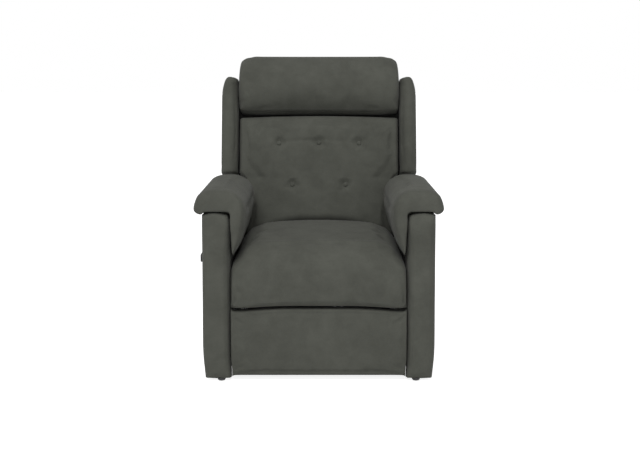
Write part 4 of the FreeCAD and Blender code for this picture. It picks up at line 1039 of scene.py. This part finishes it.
def make_buttons():
    rows = round_rows(BUTTON_RADIUS, BUTTON_HEIGHT, BUTTON_ROWS, BUTTON_FULLNESS)
    dome = lathe("button_dome", rows, BUTTON_SIDES)
    spots = bpy.data.meshes.new("tuft_buttons")
    spots.from_pydata([place + BACK_OUT * BUTTON_PROUD for place in BUTTONS], [], [])
    buttons = new_piece("tuft_buttons", spots)
    run_tree(buttons, button_tree(dome), "Size", 1.0)
    bpy.data.objects.remove(dome)
    finish_cover(buttons, "back", "back_buttons", levels=0)


make_buttons()

# %% [markdown]
# ## Stitches
# Each cover is closed by lines of top-stitching: along the side panels, the pocket's hem, the pads' lips, the
# seat's and footrest's edges, the headrest and the rear cover. A line is a path that is dropped on the real
# cover, so that it follows every swell. Geometry Nodes cut the path into stitches of equal length and lay a
# small spindle of thread along each.

# %% Thread
STITCH_LENGTH = 0.0048
STITCH_PITCH = 0.0064
STITCH_RADIUS = 0.0006
STITCH_FULLNESS = 0.5
STITCH_ROWS, STITCH_SIDES = 6, 6
STITCH_SINK = 0.3
LINE_POINTS = 60


def twisted_thread():
    thread = Finish("sewing_thread", roughness=0.6, sheen_weight=0.1)
    twist = thread.waves(scale=900.0, distortion=0.4, direction="DIAGONAL")
    thread.set("Base Color", thread.mix(twist, rgba(0.030, 0.031, 0.027), rgba(0.060, 0.062, 0.053)))
    thread.set("Normal", thread.bump(twist, distance=0.0002, strength=0.6))
    return thread.material


THREAD = twisted_thread()


def stitch_tree(stitch):
    """Geometry Nodes: edges become curves, cut at an even pitch, with a stitch along each cut."""
    kinds = ("NodeGroupInput", "GeometryNodeMeshToCurve", "GeometryNodeResampleCurve",
             "GeometryNodeInputTangent", "FunctionNodeAlignRotationToVector", "GeometryNodeObjectInfo",
             "GeometryNodeInstanceOnPoints", "GeometryNodeRealizeInstances", "GeometryNodeSetMaterial",
             "NodeGroupOutput")
    tree, nodes = new_tree("stitches_on_path", "Pitch", kinds)
    begin, curve, cut, tangent, turn, model, place, real, cover, end = nodes
    cut.mode = "LENGTH"
    turn.axis = "Z"
    model.inputs["Object"].default_value = stitch
    cover.inputs["Material"].default_value = THREAD
    join_nodes(tree,
               (begin, "Geometry", curve, "Mesh"),
               (curve, "Curve", cut, "Curve"),
               (begin, "Pitch", cut, "Length"),
               (cut, "Curve", place, "Points"),
               (tangent, "Tangent", turn, "Vector"),
               (turn, "Rotation", place, "Rotation"),
               (model, "Geometry", place, "Instance"),
               (place, "Instances", real, "Geometry"),
               (real, "Geometry", cover, "Geometry"),
               (cover, "Geometry", end, "Geometry"))
    return tree


def drop_line(piece, first, last, direction):
    """A line of even points between two places, dropped to just under the surface of a piece."""
    tree = BVHTree.FromObject(bpy.data.objects[piece], bpy.context.evaluated_depsgraph_get())
    starts = [Vector(first).lerp(Vector(last), step / (LINE_POINTS - 1)) for step in range(LINE_POINTS)]
    hits = [tree.ray_cast(start, Vector(direction)) for start in starts]
    return [place - normal * STITCH_SINK * STITCH_RADIUS for place, normal, _, _ in hits if place]


def on_chair(across, out, up):
    """A place given on the leaning back, as the chair's own coordinates."""
    return HINGE + Vector((across, 0, 0)) + BACK_OUT * out + BACK_UP * up


# %% Stitch lines
BESIDE, BEFORE, OFF_BACK = 0.5, -0.6, 0.3
PANEL_INSETS, PANEL_ENDS = (0.012, 0.018), (0.03, 0.54)
PAD_SEAM, PAD_ENDS = 0.583, (-0.40, 0.07)
POCKET_DROPS, POCKET_END = (0.008, 0.013), 0.004
FRONT_HALF = 0.272
SEAT_SEAM = 0.266
REST_SEAMS = (0.028, 0.230)
HEAD_SEAM, HEAD_HALF = 0.570, 0.285
REAR_UPRIGHTS, REAR_ENDS = (-0.17, 0.17), (0.05, 0.745)
REAR_SEAM, REAR_HALF = 0.36, 0.33


def sew(name, body, paths):
    verts, edges = [], []
    for path in paths:
        edges += [(len(verts) + step, len(verts) + step + 1) for step in range(len(path) - 1)]
        verts += path
    mesh = bpy.data.meshes.new(name)
    mesh.from_pydata(verts, edges, [])
    seam = new_piece(name, mesh)
    rows = round_rows(STITCH_RADIUS, STITCH_LENGTH, STITCH_ROWS, STITCH_FULLNESS)
    stitch = lathe("stitch", rows, STITCH_SIDES)
    run_tree(seam, stitch_tree(stitch), "Pitch", STITCH_PITCH)
    bpy.data.objects.remove(stitch)
    seam.data.shade_smooth()
    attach(seam, body)
    print(name, "lines", len(paths), "points", len(seam.data.vertices))


def front_line(piece, level):
    """A level line across the front of a piece."""
    return drop_line(piece, (-FRONT_HALF, BEFORE, level), (FRONT_HALF, BEFORE, level), (0, 1, 0))


def chassis_lines():
    panel_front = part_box("arm_side_panel_right")[0].y
    pocket_low, pocket_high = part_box("handset_pocket")
    lines = []
    for side, word in ((1, "right"), (-1, "left")):
        aside, inwards = BESIDE * side, (-side, 0, 0)
        for inset in PANEL_INSETS:
            ends = [(aside, panel_front + inset, level) for level in PANEL_ENDS]
            lines.append(drop_line(f"side_panel_cover_{word}", *ends, inwards))
        ends = [(aside, depth, PAD_SEAM) for depth in PAD_ENDS]
        lines.append(drop_line(f"arm_pad_cover_{word}", *ends, inwards))
    for drop in POCKET_DROPS:
        level = pocket_high.z - drop
        first = (-BESIDE, pocket_low.y + POCKET_END, level)
        last = (-BESIDE, pocket_high.y - POCKET_END, level)
        lines.append(drop_line("pocket_cover", first, last, (1, 0, 0)))
    return lines + [front_line("seat_cover", SEAT_SEAM)]


def back_lines():
    ends = [on_chair(across, OFF_BACK, HEAD_SEAM) for across in (-HEAD_HALF, HEAD_HALF)]
    lines = [drop_line("headrest_cover", *ends, -BACK_OUT)]
    for across in REAR_UPRIGHTS:
        ends = [on_chair(across, -OFF_BACK, level) for level in REAR_ENDS]
        lines.append(drop_line("rear_cover", *ends, BACK_OUT))
    ends = [on_chair(across, -OFF_BACK, REAR_SEAM) for across in (-REAR_HALF, REAR_HALF)]
    return lines + [drop_line("rear_cover", *ends, BACK_OUT)]


sew("chassis_stitches", "chassis", chassis_lines())
sew("footrest_stitches", "footrest", [front_line("footrest_cover", level) for level in REST_SEAMS])
sew("back_stitches", "back", back_lines())

# %% [markdown]
# ## Glides
# Each front post stands just above the floor on a turned plastic glide, driven into its lower end.

# %% Glides
GLIDE_RADIUS = 0.013
GLIDE_TOP = 0.013
GLIDE_FOOT = 0.003
GLIDE_SIDES = 28
GLIDE_INWARDS = 0.012
GLIDE_ROWS = (
    (0, GLIDE_TOP),
    (0.6 * GLIDE_RADIUS, GLIDE_TOP),
    (GLIDE_RADIUS, GLIDE_TOP - 0.002),
    (GLIDE_RADIUS, GLIDE_FOOT + 0.003),
    (0.8 * GLIDE_RADIUS, GLIDE_FOOT),
    (0, GLIDE_FOOT),
)


def make_glides():
    for side, word in ((1, "right"), (-1, "left")):
        low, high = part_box(f"arm_front_post_{word}")
        glide = lathe(f"post_glide_{word}", GLIDE_ROWS, GLIDE_SIDES)
        across = (low.x + high.x) / 2 - side * GLIDE_INWARDS
        glide.data.transform(Matrix.Translation((across, (low.y + high.y) / 2, 0)))
        glide.data.materials.append(HARD_FINISHES["black_plastic"])
        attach(glide, "chassis")
        print(glide.name, "points", len(glide.data.vertices))


make_glides()

# %% [markdown]
# ## Studio
# One wide, soft key from above the camera, a weaker fill, white paper and a white sky. Only the camera and
# mirrored rays see the paper and the sky at full strength, so they hardly light the dark cloth.

# %% Studio
PAPER_SIZE = 30.0
PAPER_GLOW = 0.86
SKY_LEVEL = 0.35
KEY_LAMP = {"place": (-0.6, -4.0, 4.8), "target": (0, 0, 0.55), "size": 3.0, "power": 192}
FILL_LAMP = {"place": (0.9, -5.5, 1.2), "target": (0, 0, 0.5), "size": 2.0, "power": 12}


def make_area_light(name, place, target, size, power):
    data = bpy.data.lights.new(name, "AREA")
    data.shape = "SQUARE"
    data.size = size
    data.energy = power
    light = bpy.data.objects.new(name, data)
    light.location = place
    light.rotation_euler = (Vector(target) - Vector(place)).to_track_quat("-Z", "Y").to_euler()
    scene.collection.objects.link(light)


def make_studio():
    net = bmesh.new()
    bmesh.ops.create_grid(net, x_segments=1, y_segments=1, size=PAPER_SIZE)
    mesh = bpy.data.meshes.new("floor")
    net.to_mesh(mesh)
    net.free()
    floor = new_piece("floor", mesh)
    white = rgba(0.9, 0.9, 0.9)
    paper = Finish("white_paper", roughness=0.9, base_color=white, emission_strength=PAPER_GLOW)
    path = paper.add("ShaderNodeLightPath", {}, {})
    rays = [Wire(paper, path.outputs[f"Is {kind} Ray"]) for kind in ("Camera", "Glossy", "Transmission")]
    shown = paper.between(rays[0] + rays[1] + rays[2], (0.0, 1.0))
    paper.set("Emission Color", paper.mix(shown, rgba(0, 0, 0), rgba(1, 1, 1)))
    mesh.materials.append(paper.material)
    make_area_light("key", **KEY_LAMP)
    make_area_light("fill", **FILL_LAMP)
    world = bpy.data.worlds.new("studio")
    scene.world = world
    world.use_nodes = True
    tree = world.node_tree
    path = tree.nodes.new("ShaderNodeLightPath")
    seen = tree.nodes.new("ShaderNodeMath")
    seen.operation = "MAXIMUM"
    tree.links.new(path.outputs["Is Camera Ray"], seen.inputs[0])
    tree.links.new(path.outputs["Is Glossy Ray"], seen.inputs[1])
    level = tree.nodes.new("ShaderNodeMapRange")
    level.inputs["To Min"].default_value = SKY_LEVEL
    level.inputs["To Max"].default_value = 1.0
    tree.links.new(seen.outputs[0], level.inputs["Value"])
    sky = tree.nodes["Background"]
    sky.inputs["Color"].default_value = rgba(1, 1, 1)
    tree.links.new(level.outputs[0], sky.inputs["Strength"])
    scene.view_settings.view_transform = "Standard"
    print("studio with key", KEY_LAMP["power"], "W and fill", FILL_LAMP["power"], "W")


make_studio()
